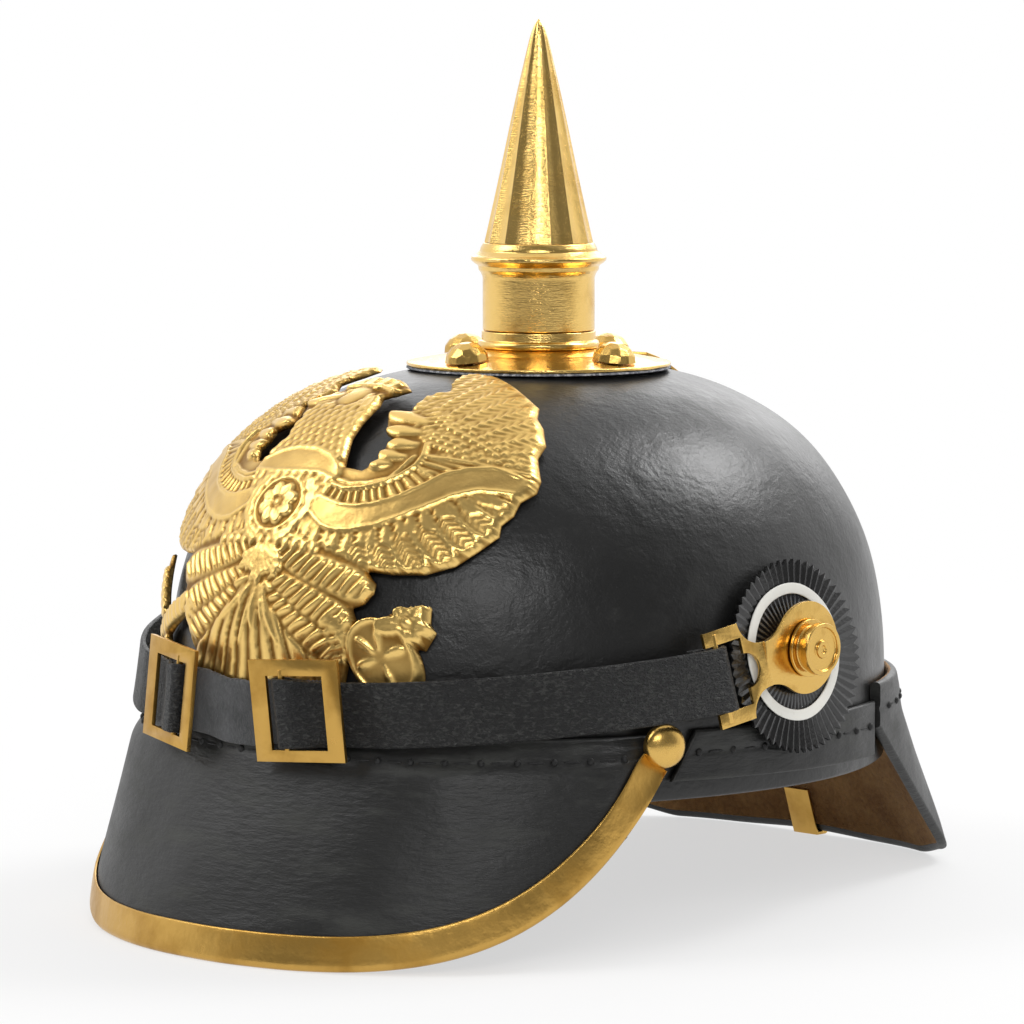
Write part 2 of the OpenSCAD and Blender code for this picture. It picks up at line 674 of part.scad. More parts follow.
neck_low = joint_z + 0.25;
flange_z = neck_low + neck_h + 4;
cone_low = flange_z + 5;
module spike_neck() {
    color(brass) seated() rotate_extrude() difference() {
        polygon([[neck_in_r, neck_low], [neck_r, neck_low], [neck_r, flange_z - 4.5],
            [neck_r + 0.5, flange_z - 3.6], [neck_r + 1.2, flange_z - 2.6], [neck_r + 1.4, flange_z - 1.4],
            [flange_r - 0.8, flange_z - 0.6], [flange_r, flange_z + 0.2], [flange_r - 0.1, flange_z + 1],
            [flange_r - 1.2, flange_z + 1.6], [cone_r + 1.3, flange_z + 3], [cone_r + 0.3, cone_low],
            [neck_in_r - 1, cone_low], [neck_in_r - 1, flange_z + 1.5], [neck_in_r, flange_z]]);
        translate([neck_r + 3.1, flange_z - 4.2]) circle(r = 1.7);
    }
}

// The cone is fluted: its radius dips between the arrises
cone_rings = [[0, 1], [0.24, 0.78], [0.4, 0.64], [0.54, 0.52], [0.68, 0.395], [0.78, 0.3], [0.86, 0.225],
    [0.93, 0.15], [0.97, 0.09]];
flute_sides = 6;
function cone_ring(share, size) = [for (i = [0:flute_count * flute_sides - 1])
    let (a = flute_turn + 360 * i / (flute_count * flute_sides),
        dip = sin(180 * (i % flute_sides) / flute_sides),
        r = cone_r * size * (1 - flute_depth * dip))
    [r * cos(a), r * sin(a), cone_low + 0.1 + cone_h * share]];
module spike_point() {
    per = flute_count * flute_sides;
    rings = len(cone_rings);
    side = [for (k = [0:rings - 2], i = [0:per - 1]) let (n = (i + 1) % per)
        each two_faces(k * per + i, k * per + n, (k + 1) * per + n, (k + 1) * per + i)];
    tip = [for (i = [0:per - 1]) [(rings - 1) * per + i, rings * per, (rings - 1) * per + (i + 1) % per]];
    base = [for (i = [0:per - 1]) [i, (i + 1) % per, rings * per + 1]];
    color(brass) seated() polyhedron(
        concat([for (c = cone_rings) each cone_ring(c[0], c[1])],
            [[0, 0, cone_low + 0.1 + cone_h], [0, 0, cone_low + 0.1]]),
        concat(side, tip, base), convexity = 4);
}

// Front plate: a generic crowned eagle, drawn as seen along the plate's own middle direction
emblem_tilt = 35;
module wing() {
    polygon([[10, 26], [16, 53], [21, 53], [23.5, 57], [22.5, 60.5], [23.5, 65], [19.5, 66.5],
        [15.5, 72], [14.5, 75.5], [19.5, 76.5], [18, 84], [22, 88], [18, 93], [17, 97], [20, 99.5],
        [26.5, 99.3], [33, 97], [39.5, 94], [45.5, 91], [48.2, 87], [52, 84], [56.3, 78.5],
        [57.3, 73.5], [61.5, 67], [62.4, 63], [60.7, 58.5], [61, 54], [59.7, 50], [60.4, 46.8],
        [57.5, 40.5], [54, 34.5], [48, 29.5], [40.5, 26.7], [34, 25.5], [37, 23], [37, 20.5],
        [35, 17], [24, 10]]);
}
module head_outline(more) {
    polygon([[-17 - more, 50], [16 + more, 50], [12.3 + more, 58], [10 + more, 62.7], [8.5 + more, 68.5],
        [7 + more, 77.5], [5.2 + more, 80.6], [8 + more, 83], [10 + more, 86], [4, 89.6 + more],
        [-5.8, 91 + more], [-10.6 - more, 86.5], [-15 - more, 81.2], [-21 - more, 77], [-16.5 - more, 69.8],
        [-13.6 - more, 61.7], [-16 - more, 55.6]]);
}
module talon() {
    translate([41.5, 5.5]) circle(r = 9.4);
    polygon([[38, 12], [43, 10], [51, 11.5], [53.2, 16.6], [51.7, 18], [51.3, 22.2], [48.3, 20.5],
        [44.7, 19.1]]);
}
module emblem() {
    scale(emblem_scale) {
        wing();
        difference() {
            mirror([1, 0]) wing();
            head_outline(2.5);
        }
        head_outline(0);
        polygon([[-24, 53], [-16, 53], [16, 53], [24, 30], [34, 12], [31, -4], [24, -12], [-22, -12],
            [-24, -2], [-31, 8], [-34, 14]]);
        talon();
        translate([-52, 14]) rotate(-66) square([34, 5], center = true);
        translate([-42, 10]) rotate(8) square([26, 5], center = true);
    }
}
// The plate stands off the shell at its wings and comes close to it behind the strap
plate_steps = 34;
plate_rows = 16;
plate_half_deg = 72;
plate_low_th = 4.5;
plate_high_th = 82;
plate_close_z = wall_top + 16.3;
plate_close_span = 20;
function plate_off(th) =
    plate_gap * mix(0.5, 1, ease((dome_at(0, th, 0)[2] - plate_close_z) / plate_close_span));
function plate_row(b, more) = [for (j = [0:plate_rows])
    let (th = mix(plate_low_th, plate_high_th, j / plate_rows))
    dome_at(b, th, plate_off(th) + more)];
module eagle_plate() {
    color(brass) seated() intersection() {
        sheet([for (i = [0:plate_steps])
                plate_row(mix(-plate_half_deg, plate_half_deg, i / plate_steps), plate_t)],
            [for (i = [0:plate_steps])
                plate_row(mix(-plate_half_deg, plate_half_deg, i / plate_steps), 0)]);
        rotate([90 - emblem_tilt, 0, 0]) linear_extrude(height = 200) offset(delta = 0.02) emblem();
    }
}
plate_post_deg = 27;
plate_post_th = 42;
plate_post_at = dome_at(plate_post_deg, plate_post_th, 0);
plate_post_dir = dome_normal(plate_post_deg, plate_post_th);
plate_post_in = shell_t + 4.5;
plate_nut_in = shell_t + 3.6;
plate_nut_r = 3.6;
plate_nut_t = 2.6;
module plate_posts() {
    color(brass) seated() copy_to_right() rod(plate_post_at - plate_post_in * plate_post_dir,
        plate_post_dir, plate_post_r, plate_post_in + plate_gap - 0.1);
}
module plate_nuts() {
    color(brass) seated() copy_to_right() difference() {
        rod(plate_post_at - plate_nut_in * plate_post_dir, plate_post_dir, plate_nut_r, plate_nut_t,
            $fn = 24);
        rod(plate_post_at - (plate_nut_in + 2) * plate_post_dir, plate_post_dir, plate_post_r + 0.05,
            plate_nut_t + 4);
    }
}

// Side fittings. Their common axis is the strap's axis.

post_y = -1.2;
post_base_r = collar_r + 1;
cockade_x = shell_half_w + 1.1;
cockade_y = post_y - 0.1;
cockade_z = post_z - 2.8;
cockade_lean = 8;
cockade_t = 1.2;
pleat_dip = 1.6;
hoop_up = 1.3;
module at_cockade() {
    translate([cockade_x, cockade_y, cockade_z]) rotate([0, 90 - cockade_lean, 0]) children();
}
module cockade() {
    difference() {
        at_cockade() {
            linear_extrude(height = cockade_t) polygon([for (i = [0:2 * pleat_count - 1])
                let (a = 180 * i / pleat_count, r = cockade_r - (i % 2 == 0 ? 0 : pleat_dip))
                [r * cos(a), r * sin(a)]]);
        }
        translate([cockade_x - 10, post_y, post_z]) rotate([0, 90, 0])
            cylinder(r = post_base_r + 0.35, h = 30);
    }
}
module hoop() {
    at_cockade() translate([-hoop_up, -hoop_up, cockade_t + 0.05]) difference() {
        cylinder(r = hoop_r, h = 0.6);
        translate([0, 0, -1]) cylinder(r = hoop_r - hoop_w, h = 3);
    }
}
module cockade_left() {
    color(black_leather) seated() cockade();
}
module cockade_right() {
    color(black_leather) seated() mirror([1, 0, 0]) cockade();
}
module hoop_left() {
    color(white_paint) seated() hoop();
}
module hoop_right() {
    color(white_paint) seated() mirror([1, 0, 0]) hoop();
}

lug_x = cockade_x + 3.9;
post_in_x = shell_half_w - 9;
post_base_x = wall_at(90, post_z, seat)[0] + 0.4;
knob_flange_x = lug_x + lug_t + seat;
knob_flange_t = 1;
knob_neck_t = 2.2;
knob_head_t = 2.4;
knob_groove = 0.8;
knob_button_r = 2.4;
module side_post() {
    translate([0, post_y, post_z]) rotate([0, 90, 0]) {
        translate([0, 0, post_in_x]) cylinder(r = shank_r, h = lug_x - post_in_x);
        translate([0, 0, post_base_x]) cylinder(r = post_base_r, h = lug_x - seat - post_base_x);
        translate([0, 0, lug_x - 0.3]) cylinder(r = collar_r, h = lug_t + 0.6);
        translate([0, 0, knob_flange_x]) cylinder(r = knob_r + 0.8, h = knob_flange_t);
        translate([0, 0, knob_flange_x]) cylinder(r = knob_r - 1, h = knob_flange_t + knob_neck_t + 0.2);
        translate([0, 0, knob_flange_x + knob_flange_t + knob_neck_t]) difference() {
            cylinder(r = knob_r, h = knob_head_t);
            translate([0, 0, knob_head_t - knob_groove]) difference() {
                cylinder(r = knob_r - 1.2, h = 2);
                cylinder(r = knob_button_r, h = 2);
            }
            translate([0, 0, knob_head_t - knob_groove + 0.2]) cylinder(r = knob_button_r - 1.3, h = 2);
        }
    }
}
module side_post_left() {
    color(brass) seated() side_post();
}
module side_post_right() {
    color(brass) seated() mirror([1, 0, 0]) side_post();
}
post_nut_r = shank_r + 2.5;
post_nut_t = 3;
module post_nuts() {
    color(brass) seated() copy_to_right() translate([post_in_x + 0.8, post_y, post_z]) rotate([0, 90, 0])
        difference() {
            cylinder(r = post_nut_r, h = post_nut_t, $fn = 6);
            translate([0, 0, -1]) cylinder(r = shank_r + 0.05, h = post_nut_t + 2, $fn = 48);
        }
}

// Strap lug: p runs from the eye towards the strap, q across the lug
lug_drop = 10.5;
lug_bend = 8;
lug_bend_p = 17;
lug_lean = 8;
fork_end = 36.6;
fork_arm = 4;
fork_half = strap_w / 2 + 0.4 + fork_arm;
slot_p = 24.2;
bar_p = 33;
neck_half = 6.2;
fork_hollow = 7.4;
bar_r = 0.9;

// The eye runs into the neck through hollows that touch its circle
neck_hollow = (pow(lug_bend_p, 2) + pow(neck_half, 2) - pow(eye_r, 2)) / (2 * (eye_r - neck_half));
neck_touch = eye_r / (eye_r + neck_hollow) * [lug_bend_p, neck_half + neck_hollow];
module lug_eye() {
    linear_extrude(height = lug_t) {
        circle(r = eye_r);
        difference() {
            translate([neck_touch[0] - 0.5, -neck_touch[1]])
                square([lug_bend_p - neck_touch[0] + 0.5, 2 * neck_touch[1]]);
            for (s = [-1, 1]) translate([lug_bend_p, s * (neck_half + neck_hollow)]) circle(r = neck_hollow);
        }
    }
}
module lug_fork() {
    linear_extrude(height = lug_t) difference() {
        translate([lug_bend_p - 0.6, -fork_half]) square([fork_end - lug_bend_p + 0.6, 2 * fork_half]);
        for (s = [-1, 1]) translate([lug_bend_p, s * (neck_half + fork_hollow)]) circle(r = fork_hollow);
        translate([slot_p, -strap_w / 2 - 0.4]) square([20, strap_w + 0.8]);
        translate([slot_p, 0]) circle(r = 4.8);
    }
}
module lug() {
    difference() {
        lug_frame() union() {
            lug_eye();
            translate([lug_bend_p, 0, 0]) rotate([-lug_lean, lug_bend, 0]) translate([-lug_bend_p, 0, 0]) {
                lug_fork();
                translate([bar_p, -fork_half + 1, lug_t / 2]) rotate([-90, 0, 0])
                    cylinder(r = bar_r, h = 2 * fork_half - 2);
            }
        }
        translate([lug_x - 5, post_y, post_z]) rotate([0, 90, 0]) cylinder(r = collar_r + turn_gap, h = 10);
    }
}
// The lug's own frame: first axis towards the strap, second up, third outwards
module lug_frame() {
    c = cos(lug_drop);
    s = sin(lug_drop);
    multmatrix([[0, 0, 1, lug_x], [-c, -s, 0, post_y], [-s, c, 0, post_z], [0, 0, 0, 1]]) children();
}
module lug_left() {
    color(brass) seated() lug();
}
module lug_right() {
    color(brass) seated() mirror([1, 0, 0]) lug();
}

// Chin strap. Its layers, counted outwards from the shell, at the buckles
middle_off = plate_gap / 2 + plate_t + 1.7;
under_off = middle_off + strap_t + seat + 0.7;
loop_r = bar_r + seat + strap_t / 2;
bar_off = under_off + strap_t / 2 + loop_r - 0.1;
run_off = 8.8;
strap_rise = 1.2;
// The buckles lean and turn a little with the slack leather
left_tip = -4;
right_tip = 4;
left_turn = 0;
right_turn = 2.5;
buckle_up = 1;
deg_per_mm = 1 / 1.75;

// The bar's place in plan, found from the lug's frame
lug_bar_run = lug_bend_p + (bar_p - lug_bend_p) * cos(lug_bend);
lug_bar_plan = [lug_x + lug_t / 2 - (bar_p - lug_bend_p) * sin(lug_bend),
    post_y - lug_bar_run * cos(lug_drop)];
lug_bar_z = post_z - lug_bar_run * sin(lug_drop);
lug_bar_deg = atan2(lug_bar_plan[0] * shell_front, -lug_bar_plan[1] * shell_half_w);
lug_bar_off = lug_bar_plan[0] / sin(lug_bar_deg) - shell_half_w;

function strap_z(b) =
    let (front = -(shell_front + run_off), here = -(shell_front + run_off) * cos(b),
        way = (here - front) / (lug_bar_plan[1] - front))
    mix(strap_front_z, lug_bar_z, way) + strap_rise * (1 - way) * ease((abs(b) - 2) / 6);
function strap_tilt(b) = mix(2.2, lug_drop, abs(b) / lug_bar_deg);
function strap_lean(b, tip) = mix(tip, lug_lean, ease((b - 18) / 20));
// Middle of the strap at bearing b: the run beyond the buckle sinks to the wall and rises to the lug
function strap_off(b, bar_b) =
    let (mm = (b - bar_b) / deg_per_mm,
        hump = mix(bar_off + loop_r, under_off + 0.3, ease(mm / 12.5)),
        run = mix(hump, run_off, ease((mm - 19.5) / 10)))
    mix(run, lug_bar_off + loop_r, ease((b - 48) / (lug_bar_deg - 48)));

// Direction of the lug's bar, which the end of the strap follows
lug_bar_dir = [-sin(lug_lean) * cos(lug_bend),
    cos(lug_drop) * sin(lug_lean) * sin(lug_bend) - sin(lug_drop) * cos(lug_lean),
    sin(lug_drop) * sin(lug_lean) * sin(lug_bend) + cos(lug_drop) * cos(lug_lean)];
// Direction across the strap at bearing b
function strap_up(b, tip) =
    let (tilt = strap_tilt(b), free = [0, 0, cos(tilt)] - sin(tilt) * plan_tangent(b, 5)
        - sin(strap_lean(b, tip)) * plan_normal(b, 5))
    unit(mix(free, lug_bar_dir, ease((b - lug_bar_deg + 14) / 12)));

// One cross-section of a strap: p holds its middle in plan, its bearing and its rise
function strap_section(p, dir, side, tip) =
    let (n = [dir[1], -dir[0], 0], w = (strap_w / 2) * strap_up(p[2], tip),
        base = [p[0], p[1], strap_z(p[2]) + p[3]] + side * n * strap_t / 2)
    [base - w, base + w];
function plan_point(b, off) = [(shell_half_w + off) * sin(b), -(shell_front + off) * cos(b)];

// Turn round a bar, square to it
function loop_points(b, off, from_a, to_a, steps, tip) =
    let (c = plan_point(b, off), t = plan_tangent(b, off), n = plan_normal(b, off), u = strap_up(b, tip))
    [for (i = [0:steps]) let (a = mix(from_a, to_a, i / steps), d = loop_r * (t * cos(a) + n * sin(a)))
        [c[0] + d[0], c[1] + d[1], b, -(d[0] * u[0] + d[1] * u[1]) / u[2]]];
tail_mm = 6;
// The path starts under the buckle, turns round its bar, runs to the lug and turns round its bar
function strap_path(bar_b, tip) = concat(
    [for (i = [0:2]) let (b = bar_b + (tail_mm - 2.6 * i) * deg_per_mm, p = plan_point(b, bar_off - loop_r))
        [p[0], p[1], b, 0]],
    loop_points(bar_b, bar_off, 250, 110, 8, tip),
    [for (i = [1:34]) let (b = mix(bar_b, lug_bar_deg, i / 35), p = plan_point(b, strap_off(b, bar_b)))
        [p[0], p[1], b, 0]],
    loop_points(lug_bar_deg, lug_bar_off, 85, -85, 8, tip),
    [for (i = [0:2]) let (b = lug_bar_deg - (1 + 3 * i) * deg_per_mm,
        p = plan_point(b, lug_bar_off - loop_r))
        [p[0], p[1], b, 0]]);
function path_dir(path, i) =
    let (p = path[max(i - 1, 0)], q = path[min(i + 1, len(path) - 1)])
    unit([q[0] - p[0], q[1] - p[1]]);
module strap_sheet(path, tip) {
    sheet([for (i = [0:len(path) - 1]) strap_section(path[i], path_dir(path, i), 1, tip)],
        [for (i = [0:len(path) - 1]) strap_section(path[i], path_dir(path, i), -1, tip)]);
}
module strap_left() {
    color(black_leather) seated() strap_sheet(strap_path(left_bar_deg, left_tip), left_tip);
}
module strap_right() {
    color(black_leather) seated() mirror([1, 0, 0])
        strap_sheet(strap_path(right_bar_deg, right_tip), right_tip);
}
middle_past = 13;
middle_steps = 16;
module middle_strap() {
    from_b = -right_bar_deg - middle_past * deg_per_mm;
    to_b = left_bar_deg + middle_past * deg_per_mm;
    path = [for (i = [0:middle_steps]) let (b = mix(from_b, to_b, i / middle_steps),
        p = plan_point(b, middle_off + strap_t / 2)) [p[0], p[1], b]];
    color([0.16, 0.16, 0.17]) seated() sheet(
        [for (i = [0:middle_steps]) middle_section(path[i], 1)],
        [for (i = [0:middle_steps]) middle_section(path[i], -1)]);
}
function middle_section(p, side) =
    let (n = plan_normal(p[2], 5), base = [p[0], p[1], strap_z(p[2])] + side * n * strap_t / 2,
        w = [0, 0, strap_w / 2])
    [base - w, base + w];

// Buckle: a flat frame with an upright bar that the strap's end goes round
bar_from_middle = 4.25;
window_h = strap_w + 2.6;
window_drop = 0.6;
module buckle(b, tip, turn) {
    p = plan_point(b, bar_off);
    translate([p[0], p[1], strap_z(b)]) rotate([0, 0, face_turn(b, bar_off) + turn])
        rotate([0, -strap_tilt(b), 0]) rotate([-strap_lean(b, tip), 0, 0]) {
        rotate([90, 0, 0]) translate([bar_from_middle, buckle_up, -buckle_t / 2])
            linear_extrude(height = buckle_t) difference() {
                square([buckle_w, buckle_h], center = true);
                translate([0, -window_drop])
                    square([buckle_w - 2 * buckle_bar, window_h], center = true);
            }
        translate([0, 0, buckle_up]) cylinder(r = bar_r, h = window_h + 2, center = true);
    }
}
module buckle_left() {
    color(brass) seated() buckle(left_bar_deg, left_tip, left_turn);
}
module buckle_right() {
    color(brass) seated() mirror([1, 0, 0]) buckle(right_bar_deg, right_tip, right_turn);
}

skull();
front_visor();
visor_lining();
visor_trim();
trim_studs();
neck_guard();
side_flap_left();
side_flap_right();
rear_spine();
spine_screws();
visor_thread();
guard_thread();
flap_thread();
sweatband();
draw_cord();
base_gasket();
spike_base();
dome_studs();
stud_nuts();
spike_collar();
spike_neck();
spike_point();
eagle_plate();
plate_posts();
plate_nuts();
cockade_left();
cockade_right();
hoop_left();
hoop_right();
side_post_left();
side_post_right();
post_nuts();
lug_left();
lug_right();
strap_left();
strap_right();
middle_strap();
buckle_left();
buckle_right();
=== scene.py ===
# Spiked parade helmet: its looks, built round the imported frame
import math

import bmesh
import bpy
import numpy as np
from mathutils import Matrix, Vector


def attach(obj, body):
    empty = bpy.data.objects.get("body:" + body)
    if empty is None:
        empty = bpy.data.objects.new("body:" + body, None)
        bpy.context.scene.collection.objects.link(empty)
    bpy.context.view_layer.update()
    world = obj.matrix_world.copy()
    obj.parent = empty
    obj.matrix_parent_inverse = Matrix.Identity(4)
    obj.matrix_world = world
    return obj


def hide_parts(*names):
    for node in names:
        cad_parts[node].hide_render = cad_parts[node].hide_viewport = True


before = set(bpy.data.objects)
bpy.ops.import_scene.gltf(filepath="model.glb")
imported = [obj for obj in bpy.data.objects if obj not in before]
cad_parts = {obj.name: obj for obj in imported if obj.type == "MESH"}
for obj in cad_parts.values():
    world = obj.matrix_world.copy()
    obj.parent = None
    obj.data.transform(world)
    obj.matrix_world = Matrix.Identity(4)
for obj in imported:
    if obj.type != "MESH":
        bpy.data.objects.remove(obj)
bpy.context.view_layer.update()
print("frame loaded")

# The part's own sizes in millimetres, in the shell's level frame with the spike on x = y = 0
shell = {
    "halfWidth": 97.0, "front": 113.4, "rear": 103.7, "rimZ": 39.8, "wallTop": 55.7, "domeH": 97.5,
    "power": 2.64, "leather": 3.0, "vent": 0.11, "gap": 0.3,
}
stance = {"middleY": 7.35, "drop": 0.0250754, "leanDeg": 0.89654}  # how the helmet leans back on a table


def sinD(a):
    return np.sin(np.radians(a))


def cosD(a):
    return np.cos(np.radians(a))


def ease(t):
    c = np.clip(t, 0, 1)
    return c * c * (3 - 2 * c)


def mix(a, b, t):
    return a + (b - a) * t


def stack(x, y, z):
    return np.stack(np.broadcast_arrays(x, y, z), -1).astype(float)


def unit(v):
    return v / np.maximum(np.linalg.norm(v, axis=-1, keepdims=True), 1e-9)


def halfLength(b):
    return np.where(cosD(b) > 0, shell["front"], shell["rear"])


def domePoint(b, th, off):
    k = cosD(th) ** (2 / shell["power"])
    h = sinD(th) ** (2 / shell["power"])
    return stack((shell["halfWidth"] + off) * k * sinD(b), -(halfLength(b) + off) * k * cosD(b),
                 shell["wallTop"] + (shell["domeH"] + off) * h)


def wallPoint(b, z, off):
    up = np.clip((z - shell["wallTop"]) / (shell["domeH"] + off), 0, 1)
    k = (1 - up ** shell["power"]) ** (1 / shell["power"])
    return stack((shell["halfWidth"] + off) * k * sinD(b), -(halfLength(b) + off) * k * cosD(b), z)


def crownZ(r):
    p = shell["power"]
    return shell["wallTop"] + shell["domeH"] * (1 - (r / shell["front"]) ** p) ** (1 / p)


def faceTurn(b, off):
    return np.degrees(np.arctan2((halfLength(b) + off) * sinD(b), (shell["halfWidth"] + off) * cosD(b)))


def placed(points):  # level millimetres to the frame's metres
    p = np.asarray(points, float)
    a = math.radians(-stance["leanDeg"])
    y = p[..., 1] * math.cos(a) - p[..., 2] * math.sin(a) + stance["middleY"]
    z = p[..., 1] * math.sin(a) + p[..., 2] * math.cos(a) + stance["drop"]
    return np.stack([p[..., 0], y, z], -1) / 1000


def ripple(points, size, seed, waves=14):  # smooth unevenness about as wide as size, from -1 to 1 or so
    draw = np.random.RandomState(seed)
    k = unit(draw.normal(size=(waves, 3))) * (2 * np.pi / size) * draw.uniform(0.6, 1.4, (waves, 1))
    phase = draw.uniform(0, 2 * np.pi, waves)
    return np.cos(points @ k.T + phase).sum(-1) / waves ** 0.5


# How uneven each surface is: height and width of its swells in millimetres, and the seed of their draw
unevenness = {
    "skull": (0.16, 46.0, 4), "visor": (0.22, 30, 8), "trim": (0.1, 22, 5), "guard": (0.2, 32, 17),
    "guardNap": (0.12, 9, 23), "flap": (0.12, 16, 31), "disc": (0.08, 16, 3), "cockade": (0.12, 17, 12),
    "strap": (0.1, 24, 7), "middleStrap": (0.1, 24, 9), "sweatband": (0.35, 26, 44),
    "wingRibbon": (0.05, 6, 71), "neckRibbon": (0.05, 6, 72),
}


def uneven(points, kind):
    height, size, seed = unevenness[kind]
    return height * ripple(points, size, seed)


def blurred(grid, radius):  # soft average of a grid of heights, radius in cells
    reach = max(int(radius * 2.5), 1)
    weights = np.exp(-0.5 * (np.arange(-reach, reach + 1) / radius) ** 2)
    weights /= weights.sum()
    for axis in (0, 1):
        padded = np.pad(grid, [(reach, reach) if a == axis else (0, 0) for a in (0, 1)], mode="edge")
        grid = sum(w * np.take(padded, range(i, i + grid.shape[axis]), axis) for i, w in enumerate(weights))
    return grid


def cosSin(deg):
    return math.cos(math.radians(deg)), math.sin(math.radians(deg))


# Shader helpers


def feed(tree, value, socket):
    if isinstance(value, bpy.types.NodeSocket):
        tree.links.new(value, socket)
    elif hasattr(socket.default_value, "__len__") and len(socket.default_value) == 4:
        socket.default_value = (*value[:3], 1)
    else:
        socket.default_value = value


def setInputs(tree, node, inputs):
    for key, value in inputs.items():
        feed(tree, value, node.inputs[key])


def addNode(tree, kind, inputs=None, **settings):
    made = tree.nodes.new(kind)
    for key, value in settings.items():
        setattr(made, key, value)
    setInputs(tree, made, inputs or {})
    return made


def newFinish(name):
    finish = bpy.data.materials.new(name)
    finish.use_nodes = True
    tree = finish.node_tree
    place = addNode(tree, "ShaderNodeTexCoord").outputs["Object"]
    return finish, tree, tree.nodes["Principled BSDF"], place


def stretched(tree, place, scale):
    return addNode(tree, "ShaderNodeMapping", {"Vector": place, "Scale": scale}).outputs[0]


def noiseAt(tree, place, scale, detail=4.0, rough=0.55):
    inputs = {"Vector": place, "Scale": scale, "Detail": detail, "Roughness": rough}
    return addNode(tree, "ShaderNodeTexNoise", inputs).outputs[0]


def calc(tree, job, a, b=0.0, c=0.0):
    return addNode(tree, "ShaderNodeMath", {0: a, 1: b, 2: c}, operation=job).outputs[0]


def plus(tree, a, b):
    return calc(tree, "ADD", a, b)


def times(tree, a, b):
    return calc(tree, "MULTIPLY", a, b)


def spread(tree, value, low, high, toLow=0.0, toHigh=1.0):
    inputs = {"Value": value, "From Min": low, "From Max": high, "To Min": toLow, "To Max": toHigh}
    return addNode(tree, "ShaderNodeMapRange", inputs).outputs[0]


def mixColour(tree, share, a, b):
    return addNode(tree, "ShaderNodeMix", {0: share, 6: a, 7: b}, data_type="RGBA").outputs[2]


def bumpOf(tree, height, distance, under=None):
    inputs = {"Height": height, "Distance": distance, "Strength": 1.0}
    if under is not None:
        inputs["Normal"] = under
    return addNode(tree, "ShaderNodeBump", inputs).outputs[0]


# Finishes
wear = {"soft": 0.22, "scuffRough": 0.14, "tarnishRough": 0.1, "plainSoft": 0.2}


def makeLacquer(name, look):  # black lacquered leather: soft swells, fine wrinkles and dusty streaks
    finish, tree, shader, place = newFinish(name)
    patches = noiseAt(tree, place, look["patchScale"], 3.0)
    wrinkles = noiseAt(tree, stretched(tree, place, look["wrinkleStretch"]), look["wrinkleScale"], 4.0, 0.62)
    grain = noiseAt(tree, place, look["grainScale"], 5.0, 0.6)
    scuffs = noiseAt(tree, stretched(tree, place, look["scuffStretch"]), look["scuffScale"], 6.0, 0.65)
    worn = spread(tree, scuffs, look["scuffFrom"], look["scuffFrom"] + wear["soft"])
    rough = spread(tree, patches, 0.3, 0.7, look["roughLow"], look["roughHigh"])
    lines = bumpOf(tree, wrinkles, look["wrinkleDepth"], bumpOf(tree, patches, look["waveDepth"]))
    setInputs(tree, shader, {
        "Base Color": mixColour(tree, worn, look["colour"], look["scuffColour"]),
        "Roughness": plus(tree, rough, times(tree, worn, wear["scuffRough"])),
        "Normal": bumpOf(tree, grain, look["grainDepth"], lines), "Specular IOR Level": look["gloss"]})
    return finish


def makePebble(name, look):  # grained leather: fine wrinkles that run along it, paler where they stand up
    finish, tree, shader, place = newFinish(name)
    warp = addNode(tree, "ShaderNodeTexNoise", {
        "Vector": stretched(tree, place, look["grainStretch"]), "Scale": look["grainScale"], "Detail": 3.0,
        "Roughness": 0.6, "Distortion": look["twist"]}).outputs[0]
    fine = noiseAt(tree, place, look["grainScale"] * 3, 3.0)
    tone = noiseAt(tree, place, look["toneScale"], 4.0)
    # paler colour on the grain's raised ridges
    ridgeTone = spread(tree, plus(tree, warp, times(tree, tone, 0.3)), 0.64, 0.86)
    setInputs(tree, shader, {
        "Base Color": mixColour(tree, ridgeTone, look["colour"], look["ridgeColour"]),
        "Roughness": spread(tree, tone, 0.3, 0.7, look["roughLow"], look["roughHigh"]),
        "Normal": bumpOf(tree, plus(tree, warp, times(tree, fine, 0.25)), look["grainDepth"]),
        "Specular IOR Level": look["gloss"]})
    return finish


def makeSuede(name, look):  # rough flesh side of leather, with a nap
    finish, tree, shader, place = newFinish(name)
    nap = noiseAt(tree, place, look["napScale"], 8.0, 0.75)
    tone = noiseAt(tree, place, look["toneScale"], 3.0)
    share = spread(tree, plus(tree, times(tree, nap, 0.6), times(tree, tone, 0.5)), 0.38, 0.72)
    setInputs(tree, shader, {
        "Base Color": mixColour(tree, share, look["colour"], look["paleColour"]),
        "Normal": bumpOf(tree, nap, look["napDepth"]), "Roughness": 0.95, "Sheen Weight": look["sheen"],
        "Sheen Roughness": 0.5, "Specular IOR Level": 0.2})
    return finish


def makeBrass(name, look):  # polished sheet brass with faint brush marks and tarnish
    finish, tree, shader, place = newFinish(name)
    marks = noiseAt(tree, stretched(tree, place, look["brushStretch"]), look["brushScale"], 5.0, 0.6)
    clouds = noiseAt(tree, place, look["cloudScale"], 5.0, 0.6)
    pits = noiseAt(tree, place, look["pitScale"], 2.0)
    tarnish = spread(tree, clouds, look["tarnishFrom"], look["tarnishFrom"] + wear["soft"])
    rough = spread(tree, clouds, 0.3, 0.7, look["roughLow"], look["roughHigh"])
    fine = bumpOf(tree, marks, look["brushDepth"], bumpOf(tree, clouds, look["dentDepth"]))
    setInputs(tree, shader, {
        "Base Color": mixColour(tree, tarnish, look["colour"], look["tarnishColour"]),
        "Roughness": plus(tree, rough, times(tree, tarnish, wear["tarnishRough"])),
        "Normal": bumpOf(tree, pits, look["pitDepth"], fine), "Metallic": 1.0})
    return finish


